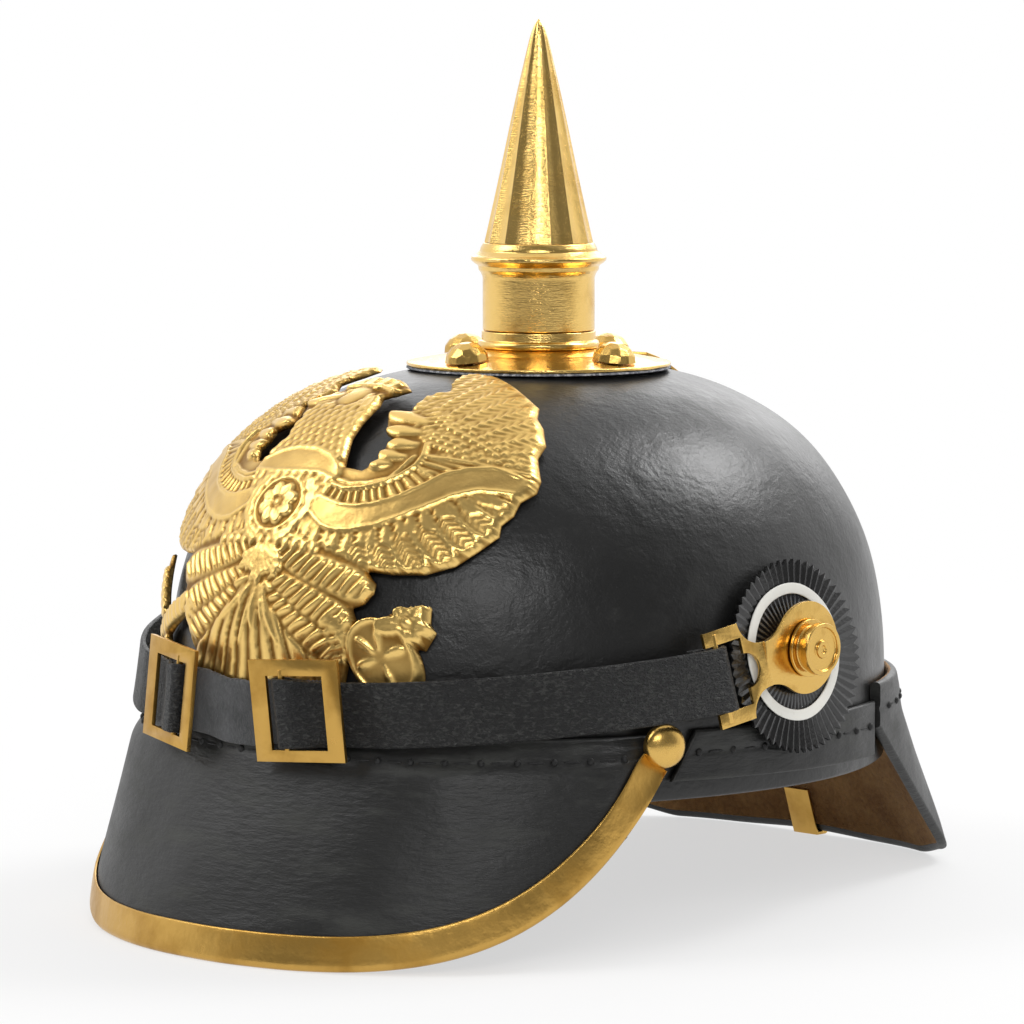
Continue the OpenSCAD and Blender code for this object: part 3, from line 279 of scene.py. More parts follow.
def makeStamped(name, look):  # stamped sheet brass, with painted shade where the relief sinks and on the plate's back, varied by noise
    finish, tree, shader, place = newFinish(name)
    # the sink attribute is the share of painted shade, mixed towards the darker colour
    depth = addNode(tree, "ShaderNodeAttribute", attribute_name="sink").outputs["Fac"]
    clouds = noiseAt(tree, place, look["cloudScale"], 5.0)
    recessShade = spread(tree, plus(tree, depth, times(tree, clouds, 0.25)), look["shadeFrom"], look["shadeTo"])
    hammer = noiseAt(tree, place, look["hammerScale"], 4.0)
    setInputs(tree, shader, {
        "Base Color": mixColour(tree, recessShade, look["colour"], look["shadeColour"]),
        "Roughness": spread(tree, recessShade, 0.0, 1.0, look["roughLow"], look["roughHigh"]),
        "Normal": bumpOf(tree, hammer, look["hammerDepth"]), "Metallic": 1.0})
    return finish


def makePlainFinish(name, look):  # enamel, felt, thread and cord: two tones and a grain
    finish, tree, shader, place = newFinish(name)
    tone = noiseAt(tree, place, look["toneScale"], 5.0, 0.65)
    share = spread(tree, tone, look["toneFrom"], look["toneFrom"] + wear["plainSoft"])
    setInputs(tree, shader, {
        "Base Color": mixColour(tree, share, look["colour"], look["otherColour"]),
        "Normal": bumpOf(tree, noiseAt(tree, place, look["grainScale"], 4.0), look["grainDepth"]),
        "Roughness": look["rough"], "Specular IOR Level": look["gloss"]})
    return finish


domeLeather = makeLacquer("domeLeather", {
    "colour": (0.0075, 0.0075, 0.0072), "scuffColour": (0.016, 0.016, 0.0145), "scuffFrom": 0.55,
    "scuffScale": 40.0, "scuffStretch": (1.0, 1.0, 1.4), "patchScale": 24.0, "wrinkleScale": 360.0,
    "wrinkleStretch": (1.0, 1.0, 1.3), "grainScale": 900.0, "roughLow": 0.3, "roughHigh": 0.4,
    "waveDepth": 0.0016, "wrinkleDepth": 0.00019, "grainDepth": 0.00009, "gloss": 0.55})
visorLeather = makeLacquer("visorLeather", {
    "colour": (0.009, 0.009, 0.0085), "scuffColour": (0.03, 0.031, 0.027), "scuffFrom": 0.5,
    "scuffScale": 34.0, "scuffStretch": (1.0, 1.0, 3.6), "patchScale": 26.0, "wrinkleScale": 190.0,
    "wrinkleStretch": (1.0, 1.0, 4.0), "grainScale": 560.0, "roughLow": 0.38, "roughHigh": 0.5,
    "waveDepth": 0.0012, "wrinkleDepth": 0.0003, "grainDepth": 0.0001, "gloss": 0.45})
strapLeather = makePebble("strapLeather", {
    "colour": (0.006, 0.006, 0.006), "ridgeColour": (0.045, 0.045, 0.042), "grainScale": 640.0,
    "grainStretch": (1.0, 1.0, 2.2), "twist": 0.8, "toneScale": 90.0, "roughLow": 0.4, "roughHigh": 0.52,
    "grainDepth": 0.0016, "gloss": 0.4})
strapSuede = makeSuede("strapSuede", {
    "colour": (0.018, 0.019, 0.02), "paleColour": (0.075, 0.077, 0.08), "napScale": 900.0, "toneScale": 120.0,
    "napDepth": 0.0004, "sheen": 0.3})
brownSuede = makeSuede("brownSuede", {
    "colour": (0.3, 0.145, 0.045), "paleColour": (0.7, 0.41, 0.17), "napScale": 620.0, "toneScale": 70.0,
    "napDepth": 0.0006, "sheen": 0.2})
bandLeather = makePebble("bandLeather", {
    "colour": (0.22, 0.11, 0.045), "ridgeColour": (0.33, 0.18, 0.08), "grainScale": 500.0,
    "grainStretch": (1.0, 1.0, 1.2), "twist": 0.4, "toneScale": 30.0, "roughLow": 0.45, "roughHigh": 0.6,
    "grainDepth": 0.0003, "gloss": 0.4})
liningLeather = makeSuede("liningLeather", {
    "colour": (0.008, 0.008, 0.009), "paleColour": (0.028, 0.028, 0.03), "napScale": 800.0, "toneScale": 90.0,
    "napDepth": 0.0004, "sheen": 0.1})
polishedBrass = makeBrass("polishedBrass", {
    "colour": (0.88, 0.59, 0.19), "tarnishColour": (0.68, 0.42, 0.11), "tarnishFrom": 0.5,
    "brushStretch": (1.0, 1.0, 9.0), "brushScale": 300.0, "cloudScale": 60.0, "pitScale": 1400.0,
    "roughLow": 0.13, "roughHigh": 0.22, "dentDepth": 0.0005, "brushDepth": 0.0001, "pitDepth": 0.00001})
trimBrass = makeBrass("trimBrass", {
    "colour": (0.6, 0.36, 0.09), "tarnishColour": (0.42, 0.23, 0.045), "tarnishFrom": 0.46,
    "brushStretch": (1.0, 1.0, 1.0), "brushScale": 240.0, "cloudScale": 46.0, "pitScale": 1400.0,
    "roughLow": 0.26, "roughHigh": 0.38, "dentDepth": 0.0006, "brushDepth": 0.00005, "pitDepth": 0.00001})
fittingBrass = makeBrass("fittingBrass", {
    "colour": (0.72, 0.46, 0.13), "tarnishColour": (0.45, 0.25, 0.05), "tarnishFrom": 0.55,
    "brushStretch": (1.0, 1.0, 1.0), "brushScale": 500.0, "cloudScale": 110.0, "pitScale": 1600.0,
    "roughLow": 0.2, "roughHigh": 0.32, "dentDepth": 0.0003, "brushDepth": 0.00004, "pitDepth": 0.00001})
# stamped brass: its darker colour is painted shade for the relief's hollows and the plate's back
stampedBrass = makeStamped("stampedBrass", {
    "colour": (0.9, 0.61, 0.2), "shadeColour": (0.27, 0.14, 0.03), "cloudScale": 60.0, "hammerScale": 700.0,
    "hammerDepth": 0.0001, "shadeFrom": 0.48, "shadeTo": 0.98, "roughLow": 0.29, "roughHigh": 0.5})
whiteEnamel = makePlainFinish("whiteEnamel", {
    "colour": (0.74, 0.73, 0.68), "otherColour": (0.55, 0.52, 0.45), "toneScale": 260.0, "toneFrom": 0.62,
    "grainScale": 700.0, "grainDepth": 0.00008, "rough": 0.42, "gloss": 0.4})
cockadeCloth = makePlainFinish("cockadeCloth", {
    "colour": (0.006, 0.006, 0.006), "otherColour": (0.022, 0.022, 0.021), "toneScale": 500.0,
    "toneFrom": 0.55, "grainScale": 900.0, "grainDepth": 0.0001, "rough": 0.24, "gloss": 0.7})
greyFelt = makePlainFinish("greyFelt", {
    "colour": (0.2, 0.21, 0.24), "otherColour": (0.75, 0.75, 0.75), "toneScale": 900.0, "toneFrom": 0.45,
    "grainScale": 1500.0, "grainDepth": 0.0005, "rough": 0.9, "gloss": 0.2})
waxedThread = makePlainFinish("waxedThread", {
    "colour": (0.006, 0.006, 0.006), "otherColour": (0.02, 0.02, 0.02), "toneScale": 900.0, "toneFrom": 0.5,
    "grainScale": 2500.0, "grainDepth": 0.0001, "rough": 0.55, "gloss": 0.4})
linenCord = makePlainFinish("linenCord", {
    "colour": (0.45, 0.37, 0.25), "otherColour": (0.62, 0.55, 0.42), "toneScale": 900.0, "toneFrom": 0.45,
    "grainScale": 1800.0, "grainDepth": 0.0004, "rough": 0.85, "gloss": 0.2})
print("finishes made")


# Mesh helpers


def gridFaces(rows, cols, wrapRows=False, wrapCols=False):
    i = np.arange(rows if wrapRows else rows - 1)
    j = np.arange(cols if wrapCols else cols - 1)
    i, j = np.meshgrid(i, j, indexing="ij")
    nextI, nextJ = (i + 1) % rows, (j + 1) % cols
    quads = [i * cols + j, nextI * cols + j, nextI * cols + nextJ, i * cols + nextJ]
    return np.stack(quads, -1).reshape(-1, 4)


def addObject(name, data):
    made = bpy.data.objects.new(name, data)
    bpy.context.scene.collection.objects.link(made)
    return made


def mended(mesh, weld=True):  # double points welded and faces turned outwards
    work = bmesh.new()
    work.from_mesh(mesh)
    if weld:
        bmesh.ops.remove_doubles(work, verts=work.verts, dist=1e-6)
    bmesh.ops.recalc_face_normals(work, faces=work.faces)
    work.to_mesh(mesh)
    work.free()


def shaded(mesh, sharpDeg):  # smooth, with sharp lines where the faces turn more than an angle
    mesh.polygons.foreach_set("use_smooth", [True] * len(mesh.polygons))
    mesh.set_sharp_from_angle(angle=math.radians(sharpDeg))


def baked(piece):  # the piece's modifiers made a plain mesh
    mesh = bpy.data.meshes.new_from_object(piece.evaluated_get(bpy.context.evaluated_depsgraph_get()))
    piece.modifiers.clear()
    piece.data = mesh
    return mesh


def makePiece(name, points, faces, materials, slots=None, sharpDeg=40, weld=True):
    mesh = bpy.data.meshes.new(name)
    mesh.from_pydata(np.asarray(points).reshape(-1, 3).tolist(), [], [list(f) for f in faces])
    for m in materials:
        mesh.materials.append(m)
    if slots is not None:
        mesh.polygons.foreach_set("material_index", np.asarray(slots, dtype=np.int32))
    mended(mesh, weld)
    shaded(mesh, sharpDeg)
    return addObject(name, mesh)


def settle(piece, body, slotName, *nodes):
    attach(piece, body)
    if nodes:
        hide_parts(*nodes)
    return piece


def closedSheet(outer, inner, wrap=False):  # two grids of points made one closed skin
    n, m = outer.shape[:2]
    loop = np.concatenate([outer, inner[:, ::-1]], 1)
    faces = gridFaces(n, 2 * m, wrap, True)
    if not wrap:
        j = np.arange(m - 1)
        cap = np.stack([j, j + 1, 2 * m - 2 - j, 2 * m - 1 - j], -1)
        faces = np.concatenate([faces, cap, (cap + (n - 1) * 2 * m)[:, ::-1]])
    return loop, faces


def roundOff(near, radius, half):  # share of the half thickness left at a distance from an edge
    d = np.clip(near, 0, radius)
    return (half - radius + np.sqrt(np.maximum(radius ** 2 - (radius - d) ** 2, 0))) / half


def acrossStops(width, radius, count):  # distances across a sheet, close together near its edges
    corner = radius * (1 - np.cos(np.linspace(0, np.pi / 2, 5)))
    inner = np.linspace(0, 1, count)[1:-1]
    w = np.asarray(width, float).reshape(-1, 1)
    return np.concatenate([corner + 0 * w, radius + inner * (w - 2 * radius), w - corner[::-1]], 1)


def drawnTogether(outer, inner, share):  # two skins with a share left of their distance from the middle
    middle, half = (outer + inner) / 2, (outer - inner) / 2 * share
    return middle + half, middle - half


def sheetGrids(surface, s, width, thick, radius, count, ends=None):
    d = acrossStops(np.broadcast_to(width, s.shape), radius, count)
    w = np.broadcast_to(width, s.shape)[:, None]
    near = np.minimum(d, w - d)
    if ends is not None:
        near = np.minimum(near, ends[:, None])
    along = s[:, None] + 0 * d
    share = roundOff(near, radius, thick / 2)[..., None]
    return (*drawnTogether(surface(along, d, 0.0), surface(along, d, -thick), share), d)


def sheetPiece(name, outer, inner, finish, wrap=False, sharpDeg=40):
    loop, faces = closedSheet(outer, inner, wrap)
    return makePiece(name, placed(loop), faces, [finish], sharpDeg=sharpDeg)


groove = {"wide": 0.8, "deep": 0.35, "flapDeep": 0.3, "lip": 0.12, "lipUp": 2.2, "lipWide": 0.9}


def grooveAt(d, seamAt, depth):  # the dent a row of stitches pulls into the leather
    return -depth * np.exp(-((d - seamAt) / groove["wide"]) ** 2)


def softProfile(profile, radius, closed=True):  # a lathe profile with its corners rounded
    p = np.asarray(profile, float)
    out = []
    for i in range(len(p)):
        if not closed and i in (0, len(p) - 1):
            out.append(p[i])
            continue
        a, b, c = p[i - 1], p[i], p[(i + 1) % len(p)]
        la, lc = np.linalg.norm(a - b), np.linalg.norm(c - b)
        r = min(radius, 0.45 * la, 0.45 * lc)
        start, end = b + (a - b) / max(la, 1e-9) * r, b + (c - b) / max(lc, 1e-9) * r
        out += [(1 - t) ** 2 * start + 2 * t * (1 - t) * b + t ** 2 * end for t in (0, 0.25, 0.5, 0.75, 1)]
    return np.array(out)


def lathed(profile, steps, wobble=None):  # profile of (radius, height) pairs turned round the Z axis
    a = np.linspace(0, 2 * np.pi, steps, endpoint=False)[:, None]
    r, z = profile[None, :, 0], profile[None, :, 1] + 0 * a
    if wobble is not None:
        r = r * wobble(a, z)
    return stack(r * np.cos(a), r * np.sin(a), z)


def ringPiece(name, points, finish, sharpDeg=40, closed=True):  # a skin on a grid that runs round
    faces = gridFaces(*points.shape[:2], True, closed)
    return makePiece(name, placed(points), faces, [finish], sharpDeg=sharpDeg)


def lathePiece(name, profile, steps, finish, radius=0.25, sharpDeg=35, move=None, closed=True):
    points = lathed(softProfile(profile, radius, closed), steps)
    return ringPiece(name, points if move is None else move(points), finish, sharpDeg, closed)


def fromNode(name, node, finish, bevel, sharpDeg=35):  # a CAD solid with its edges eased
    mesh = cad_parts[node].data.copy()
    mesh.name = name
    mesh.materials.clear()
    mesh.materials.append(finish)
    work = bmesh.new()
    work.from_mesh(mesh)
    bmesh.ops.remove_doubles(work, verts=work.verts, dist=2e-6)
    bmesh.ops.dissolve_limit(work, angle_limit=math.radians(1.0), verts=work.verts, edges=work.edges)
    work.to_mesh(mesh)
    work.free()
    piece = addObject(name, mesh)
    edgeEase = piece.modifiers.new("edges", "BEVEL")
    edgeEase.width = bevel
    edgeEase.segments = 3
    edgeEase.limit_method = "ANGLE"
    edgeEase.angle_limit = math.radians(sharpDeg)
    edgeEase.harden_normals = False
    shaded(baked(piece), sharpDeg)
    return piece


# Geometry Nodes helpers


def newTree(name, sizes):
    tree = bpy.data.node_groups.new(name, "GeometryNodeTree")
    tree.interface.new_socket(name="Geometry", in_out="INPUT", socket_type="NodeSocketGeometry")
    ids = {}
    for label, (kind, value) in sizes.items():
        made = tree.interface.new_socket(name=label, in_out="INPUT", socket_type=kind)
        if kind != "NodeSocketMaterial":
            made.default_value = value
        ids[label] = (made.identifier, value)
    tree.interface.new_socket(name="Geometry", in_out="OUTPUT", socket_type="NodeSocketGeometry")
    return tree, addNode(tree, "NodeGroupInput"), addNode(tree, "NodeGroupOutput"), ids


def grown(piece, tree, ids):  # runs a tree on a piece and leaves a plain mesh
    run = piece.modifiers.new("build", "NODES")
    run.node_group = tree
    for identifier, value in ids.values():
        run[identifier] = value
    baked(piece)
    return piece


def pointsOf(tree):  # the X, Y and Z of a tree's points
    place = addNode(tree, "GeometryNodeInputPosition").outputs[0]
    return addNode(tree, "ShaderNodeSeparateXYZ", {"Vector": place}).outputs


def turnsOf(tree, at, count):  # how many of the even parts of a turn lie behind a point, a whole turn added
    angle = calc(tree, "ARCTAN2", at["Y"], at["X"])
    return times(tree, plus(tree, calc(tree, "DIVIDE", angle, 2 * math.pi), 1.0), count)


def movedRound(tree, mesh, at, r, z):  # each point set at a radius and a height, on its own side of the axis
    flat = addNode(tree, "ShaderNodeCombineXYZ", {"X": at["X"], "Y": at["Y"]})
    way = addNode(tree, "ShaderNodeVectorMath", {0: flat.outputs[0]}, operation="NORMALIZE")
    wide = addNode(tree, "ShaderNodeVectorMath", {0: way.outputs[0], "Scale": r}, operation="SCALE")
    lift = addNode(tree, "ShaderNodeCombineXYZ", {"Z": z})
    place = addNode(tree, "ShaderNodeVectorMath", {0: wide.outputs[0], 1: lift.outputs[0]}, operation="ADD")
    return addNode(tree, "GeometryNodeSetPosition", {"Geometry": mesh, "Position": place.outputs[0]})


def endTree(tree, made, finish, end):  # every tree ends with its instances realized and its finish set
    smooth = addNode(tree, "GeometryNodeSetShadeSmooth", {"Geometry": made.outputs[0]})
    real = addNode(tree, "GeometryNodeRealizeInstances", {"Geometry": smooth.outputs[0]})
    paint = addNode(tree, "GeometryNodeSetMaterial", {"Geometry": real.outputs[0], "Material": finish})
    tree.links.new(paint.outputs[0], end.inputs[0])


def bareObject(name, points=(), turns=(), sizes=()):
    mesh = bpy.data.meshes.new(name)
    mesh.from_pydata([tuple(p) for p in points], [], [])
    for label, values in (("turn", turns), ("size", sizes)):
        if len(values):
            mesh.attributes.new(label, "FLOAT_VECTOR", "POINT").data.foreach_set("vector", np.ravel(values))
    return addObject(name, mesh)


def eulerOf(x, y, z):  # turn that takes the X, Y and Z axes to three directions
    return Matrix((x, y, z)).transposed().to_euler("XYZ")


# Leather shell
skullLook = {"around": 256, "wallRows": 10, "domeRows": 76, "rimRound": 1.1, "waveLow": 62.0,
             "waveLowSpan": 20.0, "waveHigh": 150.0, "waveHighSpan": 8.0}


def makeSkull():
    look = skullLook
    b = np.linspace(0, 360, look["around"], endpoint=False)[:, None]
    ventDeg = math.degrees(math.acos(shell["vent"] ** (shell["power"] / 2)))
    corner = look["rimRound"] * (1 - np.cos(np.linspace(0, np.pi / 2, 5)))
    straight = np.linspace(shell["rimZ"] + look["rimRound"], shell["wallTop"], look["wallRows"])
    wall = np.concatenate([shell["rimZ"] + corner, straight[1:]])
    th = ventDeg * np.linspace(0, 1, look["domeRows"])[1:] ** 1.15

    def side(off):
        low = stack((shell["halfWidth"] + off) * sinD(b), -(halfLength(b) + off) * cosD(b), wall[None, :])
        return np.concatenate([low, domePoint(b, th[None, :], off)], 1)

    outer, inner = side(0.0), side(-shell["leather"])
    near = np.full(outer.shape[1], 99.0)
    near[:len(wall)] = wall - shell["rimZ"]
    share = roundOff(near, look["rimRound"], shell["leather"] / 2)[None, :, None]
    z = outer[..., 2]
    low = ease((z - look["waveLow"]) / look["waveLowSpan"])
    high = ease((look["waveHigh"] - z) / look["waveHighSpan"])
    lift = unit(outer - inner) * uneven(outer, "skull")[..., None] * (low * high)[..., None]
    outer, inner = drawnTogether(outer, inner, share)
    settle(sheetPiece("skullLeather", outer + lift, inner, domeLeather, True), "shell", "black_leather",
           "skull")


makeSkull()
print("shell made")

# Front visor
visor = {"thick": 2.4, "top": 58.5, "fold": 51.5, "halfWidth": 94.7, "endY": 46.4, "reach": 92.6,
         "endZ": 51.0, "tipZ": -2.2, "rise": 2.23, "power": 2.1, "bulge": 1.8, "bulgeAt": 0.2,
         "bulgeTop": 0.92, "out": 7.4, "trimH": 9.5, "trimInH": 5.0, "trimThick": 0.8, "trimEnd": 1.2,
         "steps": 240, "foldSoft": 3.2, "edgeRound": 0.8, "edgeStep": 0.5, "seamShare": 0.2}
softSteps = (-1, -0.5, 0, 0.5, 1)
visor["endDeg"] = math.degrees(math.acos(visor["endY"] / shell["front"]))
visor["topDeg"] = visor["endDeg"] + 2.6
visor["inset"] = visor["trimThick"] + shell["gap"]


def edgePoint(a, off, lift):  # the trim's lower outside edge, a is 0 and 180 at its ends and 90 at the tip
    c = np.abs(cosD(a)) ** (2 / visor["power"]) * np.sign(cosD(a))
    s = np.maximum(sinD(a), 0) ** (2 / visor["power"])
    return stack((visor["halfWidth"] + off) * c, -visor["endY"] - (visor["reach"] + off) * s,
                 visor["tipZ"] + (visor["endZ"] - visor["tipZ"]) * (1 - s) ** visor["rise"] + lift)


def foldOut(b):
    return (mix(2.3, visor["out"], ease((np.abs(b) - 12) / 26))
            * ease((visor["topDeg"] - 1 - np.abs(b)) / 12))


def visorSlope(a, share, off):
    b = visor["topDeg"] * (1 - a / 90)
    up, at, top = np.clip(share, 0, 1), visor["bulgeAt"], visor["bulgeTop"]
    rising, falling = np.sin(up / at * np.pi / 2) * top, top * np.cos((up - at) / (1 - at) * np.pi / 2)
    bulge = visor["bulge"] * sinD(a) * np.where(up < at, rising, falling)
    low = edgePoint(a, off - visor["inset"] + bulge, visor["inset"])
    reach = shell["gap"] + visor["thick"] + foldOut(b) + off + bulge
    high = stack((shell["halfWidth"] + reach) * sinD(b), -(halfLength(b) + reach) * cosD(b),
                 visor["fold"] + 0 * b)
    return mix(low, high, np.asarray(share)[..., None])


def visorLength(a):
    return np.linalg.norm(visorSlope(a, np.ones_like(a), 0) - visorSlope(a, np.zeros_like(a), 0), axis=-1)


def visorPoint(a, d, off):  # d is the distance up the leather from its lower edge, past the fold
    a, d = np.broadcast_arrays(np.asarray(a, float), d)
    slope = visorLength(a)
    b = visor["topDeg"] * (1 - a / 90)
    z = visor["fold"] + d - slope
    k = np.interp(z, [visor["fold"], (visor["fold"] + visor["top"]) / 2, visor["top"]], [1, 0.45, 0])
    wall = wallPoint(b, z, shell["gap"] + visor["thick"] + k * foldOut(b) + off)
    return np.where((d <= slope)[..., None], visorSlope(a, d / np.maximum(slope, 0.3), off), wall)


def visorSoft(a, d, off):  # the same with its fold rounded
    return sum(visorPoint(a, d + k * visor["foldSoft"], off) for k in softSteps) / 5


def visorSeamAt(a):
    return visorLength(a) + visor["seamShare"] * (visor["top"] - visor["fold"])


def makeVisor():
    way = np.linspace(1, -1, visor["steps"] + 1)
    a = 90 - 90 * way * (0.88 + 0.12 * way ** 2)
    width = visorLength(a) + visor["top"] - visor["fold"]
    outer, inner, d = sheetGrids(visorSoft, a, width, visor["thick"], visor["edgeRound"], 64)
    seamAt = visorSeamAt(a)[:, None]
    lip = groove["lip"] * np.exp(-((d - seamAt - groove["lipUp"]) / groove["lipWide"]) ** 2)
    swell = uneven(outer, "visor") * ease((seamAt - d) / 8) * ease((d - visor["trimH"] + 0.5) / 5)
    lift = grooveAt(d, seamAt, groove["deep"]) + lip + swell
    piece = sheetPiece("visorLeatherSheet", outer + unit(outer - inner) * lift[..., None], inner,
                       visorLeather)
    settle(piece, "shell", "black_leather", "front_visor")


def squareToEdge(a, reach, step):  # places on the visor's skin at steps square to its edge, as (a, d)
    d, tiny = 0 * a, 0.02
    way = None
    places = [(a, d)]
    for _ in range(int(reach / step)):
        byA = (visorSoft(a + tiny, d, 0.0) - visorSoft(a - tiny, d, 0.0)) / (2 * tiny)
        byD = (visorSoft(a, d + 0.2, 0.0) - visorSoft(a, d, 0.0)) / 0.2
        if way is None:
            edge = unit(byA)
            way = unit(byD - edge * (byD * edge).sum(-1, keepdims=True))
        aa, dd, ad = (byA ** 2).sum(-1), (byD ** 2).sum(-1), (byA * byD).sum(-1)
        wa, wd = (way * byA).sum(-1), (way * byD).sum(-1)
        det = aa * dd - ad ** 2
        shareA, shareD = (wa * dd - wd * ad) / det, (wd * aa - wa * ad) / det
        way = shareA[:, None] * byA + shareD[:, None] * byD
        size = np.linalg.norm(way, axis=-1)
        way = way / size[:, None]
        a, d = a + shareA / size * step, d + shareD / size * step
        places.append((a, d))
    return np.array(places)


def makeTrim():
    a = np.linspace(visor["trimEnd"], 180 - visor["trimEnd"], 300)
    t, gap, leather, wall = visor["trimThick"], shell["gap"], visor["thick"], visor["inset"]
    legOut, legIn = gap + t / 2, -leather - gap - t / 2
    r = (legOut - legIn) / 2
    turn = r - wall + t / 2
    line = [(legOut, h) for h in np.linspace(visor["trimH"] - wall, turn, 9)]
    line += [(legOut - r + r * math.cos(q), turn - r * math.sin(q)) for q in np.linspace(0, np.pi, 11)[1:-1]]
    line += [(legIn, h) for h in np.linspace(turn, visor["trimInH"] - wall, 5)]
    line = np.array(line)
    ahead = np.gradient(line, axis=0)
    side = unit(np.stack([-ahead[:, 1], ahead[:, 0]], -1)) * t / 2
    ends = []
    for tip, forward in ((line[0], line[0] - line[1]), (line[-1], line[-1] - line[-2])):
        forward = unit(forward) * t / 2
        across = np.array([-forward[1], forward[0]])
        ends.append([tip + forward * math.cos(q) + across * math.sin(q) for q in np.linspace(-1.2, 1.2, 5)])
    section = np.concatenate([line + side, ends[1][::-1], (line - side)[::-1], ends[0][::-1]])
    off, rise = section[:, 0], section[:, 1]
    places = squareToEdge(a, visor["trimH"] + 1, visor["edgeStep"])
    at = np.clip(rise / visor["edgeStep"], 0, len(places) - 1.001)
    low = at.astype(int)
    share = (at - low)[:, None, None]
    spots = places[low] * (1 - share).transpose(0, 2, 1) + places[low + 1] * share.transpose(0, 2, 1)
    byA, byD = spots[:, 0].T, spots[:, 1].T + np.minimum(rise, 0)[None, :]
    points = visorSoft(byA, byD, off[None, :] + 0 * byA)
    dent = uneven(points, "trim")[..., None] * np.array([0.4, 0.4, 0.2])
    n, m = points.shape[:2]
    faces = gridFaces(n, m, False, True)
    caps = [list(range(m)), [(n - 1) * m + j for j in range(m)][::-1]]
    piece = makePiece("visorTrimStrip", placed(points + dent), faces.tolist() + caps, [trimBrass])
    settle(piece, "shell", "brass", "visor_trim")


lining = {"thick": 1.2, "gap": 0.4, "low": 0.06, "high": 0.8, "drop": 4.5}


def makeLining():
    base = -visor["thick"] - visor["trimThick"] - shell["gap"] - lining["gap"]

    def surface(a, d, off):
        share = d / 100
        side = lining["drop"] * np.abs(cosD(a)) ** 1.5 * (1 - share)
        p = visorSlope(a, mix(lining["low"], lining["high"], share), base + off)
        fray = 0.35 * np.sin(a * 9.0) * np.sin(a * 23.0 + 1) * (1 - share)
        return p + stack(0 * a, side, -0.4 * side + fray)

    outer, inner, _ = sheetGrids(surface, np.linspace(10, 170, 200), 100.0, lining["thick"], 0.5, 24)
    piece = sheetPiece("visorLiningSheet", outer, inner, liningLeather)
    settle(piece, "shell", "matte_leather", "visor_lining")


makeVisor()
makeTrim()
makeLining()
print("visor made")

# Neck guard
guard = {"thick": 3.0, "top": 64.0, "fold": 54.0, "reach": 123.0, "halfWidth": 93.0, "power": 3.2,
         "cornerX": 65.0, "cornerZ": 3.4, "low": 2.3, "middleZ": 3.2, "bulge": 1.6, "cornerShare": 0.62,
         "steps": 180, "foldSoft": 3.0, "edgeRound": 1.2, "rim": 2.6, "seamShare": 0.25}
guard["endDeg"] = math.degrees(math.acos(-0.42))


def guardEdge(s, off):
    d, sign = np.abs(s), np.where(s < 0, -1.0, 1.0)
    x = guard["cornerX"] * np.clip(d / guard["cornerShare"], 0, 1)

    def edgeY(at):
        half = guard["halfWidth"] + off
        return (guard["reach"] + off) * (1 - (np.abs(at) / half) ** guard["power"]) ** (1 / guard["power"])

    z = (mix(guard["middleZ"], guard["low"], ease(x / 30))
         + guard["cornerZ"] * ease((x - 48) / (guard["cornerX"] - 48)))
    rear = stack(x, edgeY(x), z)
    t = np.clip((d - guard["cornerShare"]) / (1 - guard["cornerShare"]), 0, 1)[..., None]
    corner = stack(guard["cornerX"] + 0 * d, edgeY(guard["cornerX"] + 0 * d), guard["low"] + guard["cornerZ"])
    end = wallPoint(guard["endDeg"] + 0 * d, guard["fold"] - 3 + 0 * d, shell["gap"] + guard["thick"] + off)
    p = np.where((d <= guard["cornerShare"])[..., None], rear, mix(corner, end, t))
    return p * stack(sign, 1 + 0 * sign, 1 + 0 * sign)


def guardWall(s, z, off):
    b = mix(180.0, guard["endDeg"], np.abs(s))
    p = wallPoint(b, z, off)
    return p * stack(np.where(s < 0, -1.0, 1.0), 1 + 0 * s, 1 + 0 * s)


def guardLength(s):
    flat = 1 - np.abs(s) ** 6
    high = guardWall(s, guard["fold"] + 0 * s, shell["gap"] + guard["thick"] + guard["bulge"] * flat)
    return np.linalg.norm(high - guardEdge(s, 0.0), axis=-1)


def guardPoint(s, d, off):
    s, d = np.broadcast_arrays(np.asarray(s, float), d)
    s = np.clip(s, -1, 1)
    flat = 1 - np.abs(s) ** 6
    slope = guardLength(s)
    base = shell["gap"] + guard["thick"] + off
    high = guardWall(s, guard["fold"] + 0 * s, base + guard["bulge"] * flat)
    z = guard["fold"] + d - slope
    k = np.interp(z, [(guard["fold"] + guard["top"]) / 2, guard["top"]], [1, 0])
    wall = guardWall(s, z, base + guard["bulge"] * flat * k)
    ramp = mix(guardEdge(s, off), high, (d / np.maximum(slope, 0.3))[..., None])
    return np.where((d <= slope)[..., None], ramp, wall)


def guardSoft(s, d, off):
    soft = sum(guardPoint(s, d + k * guard["foldSoft"], off) for k in softSteps) / 5
    rounded = sum(guardPoint(s + k * 0.03, d, off) for k in softSteps) / 5
    corner = np.exp(-((np.abs(s) - guard["cornerShare"]) / 0.06) ** 2) * ease(1 - d / 30)
    return mix(soft, rounded, corner[..., None])


def guardSeamAt(s):
    return guardLength(s) + guard["seamShare"] * (guard["top"] - guard["fold"])


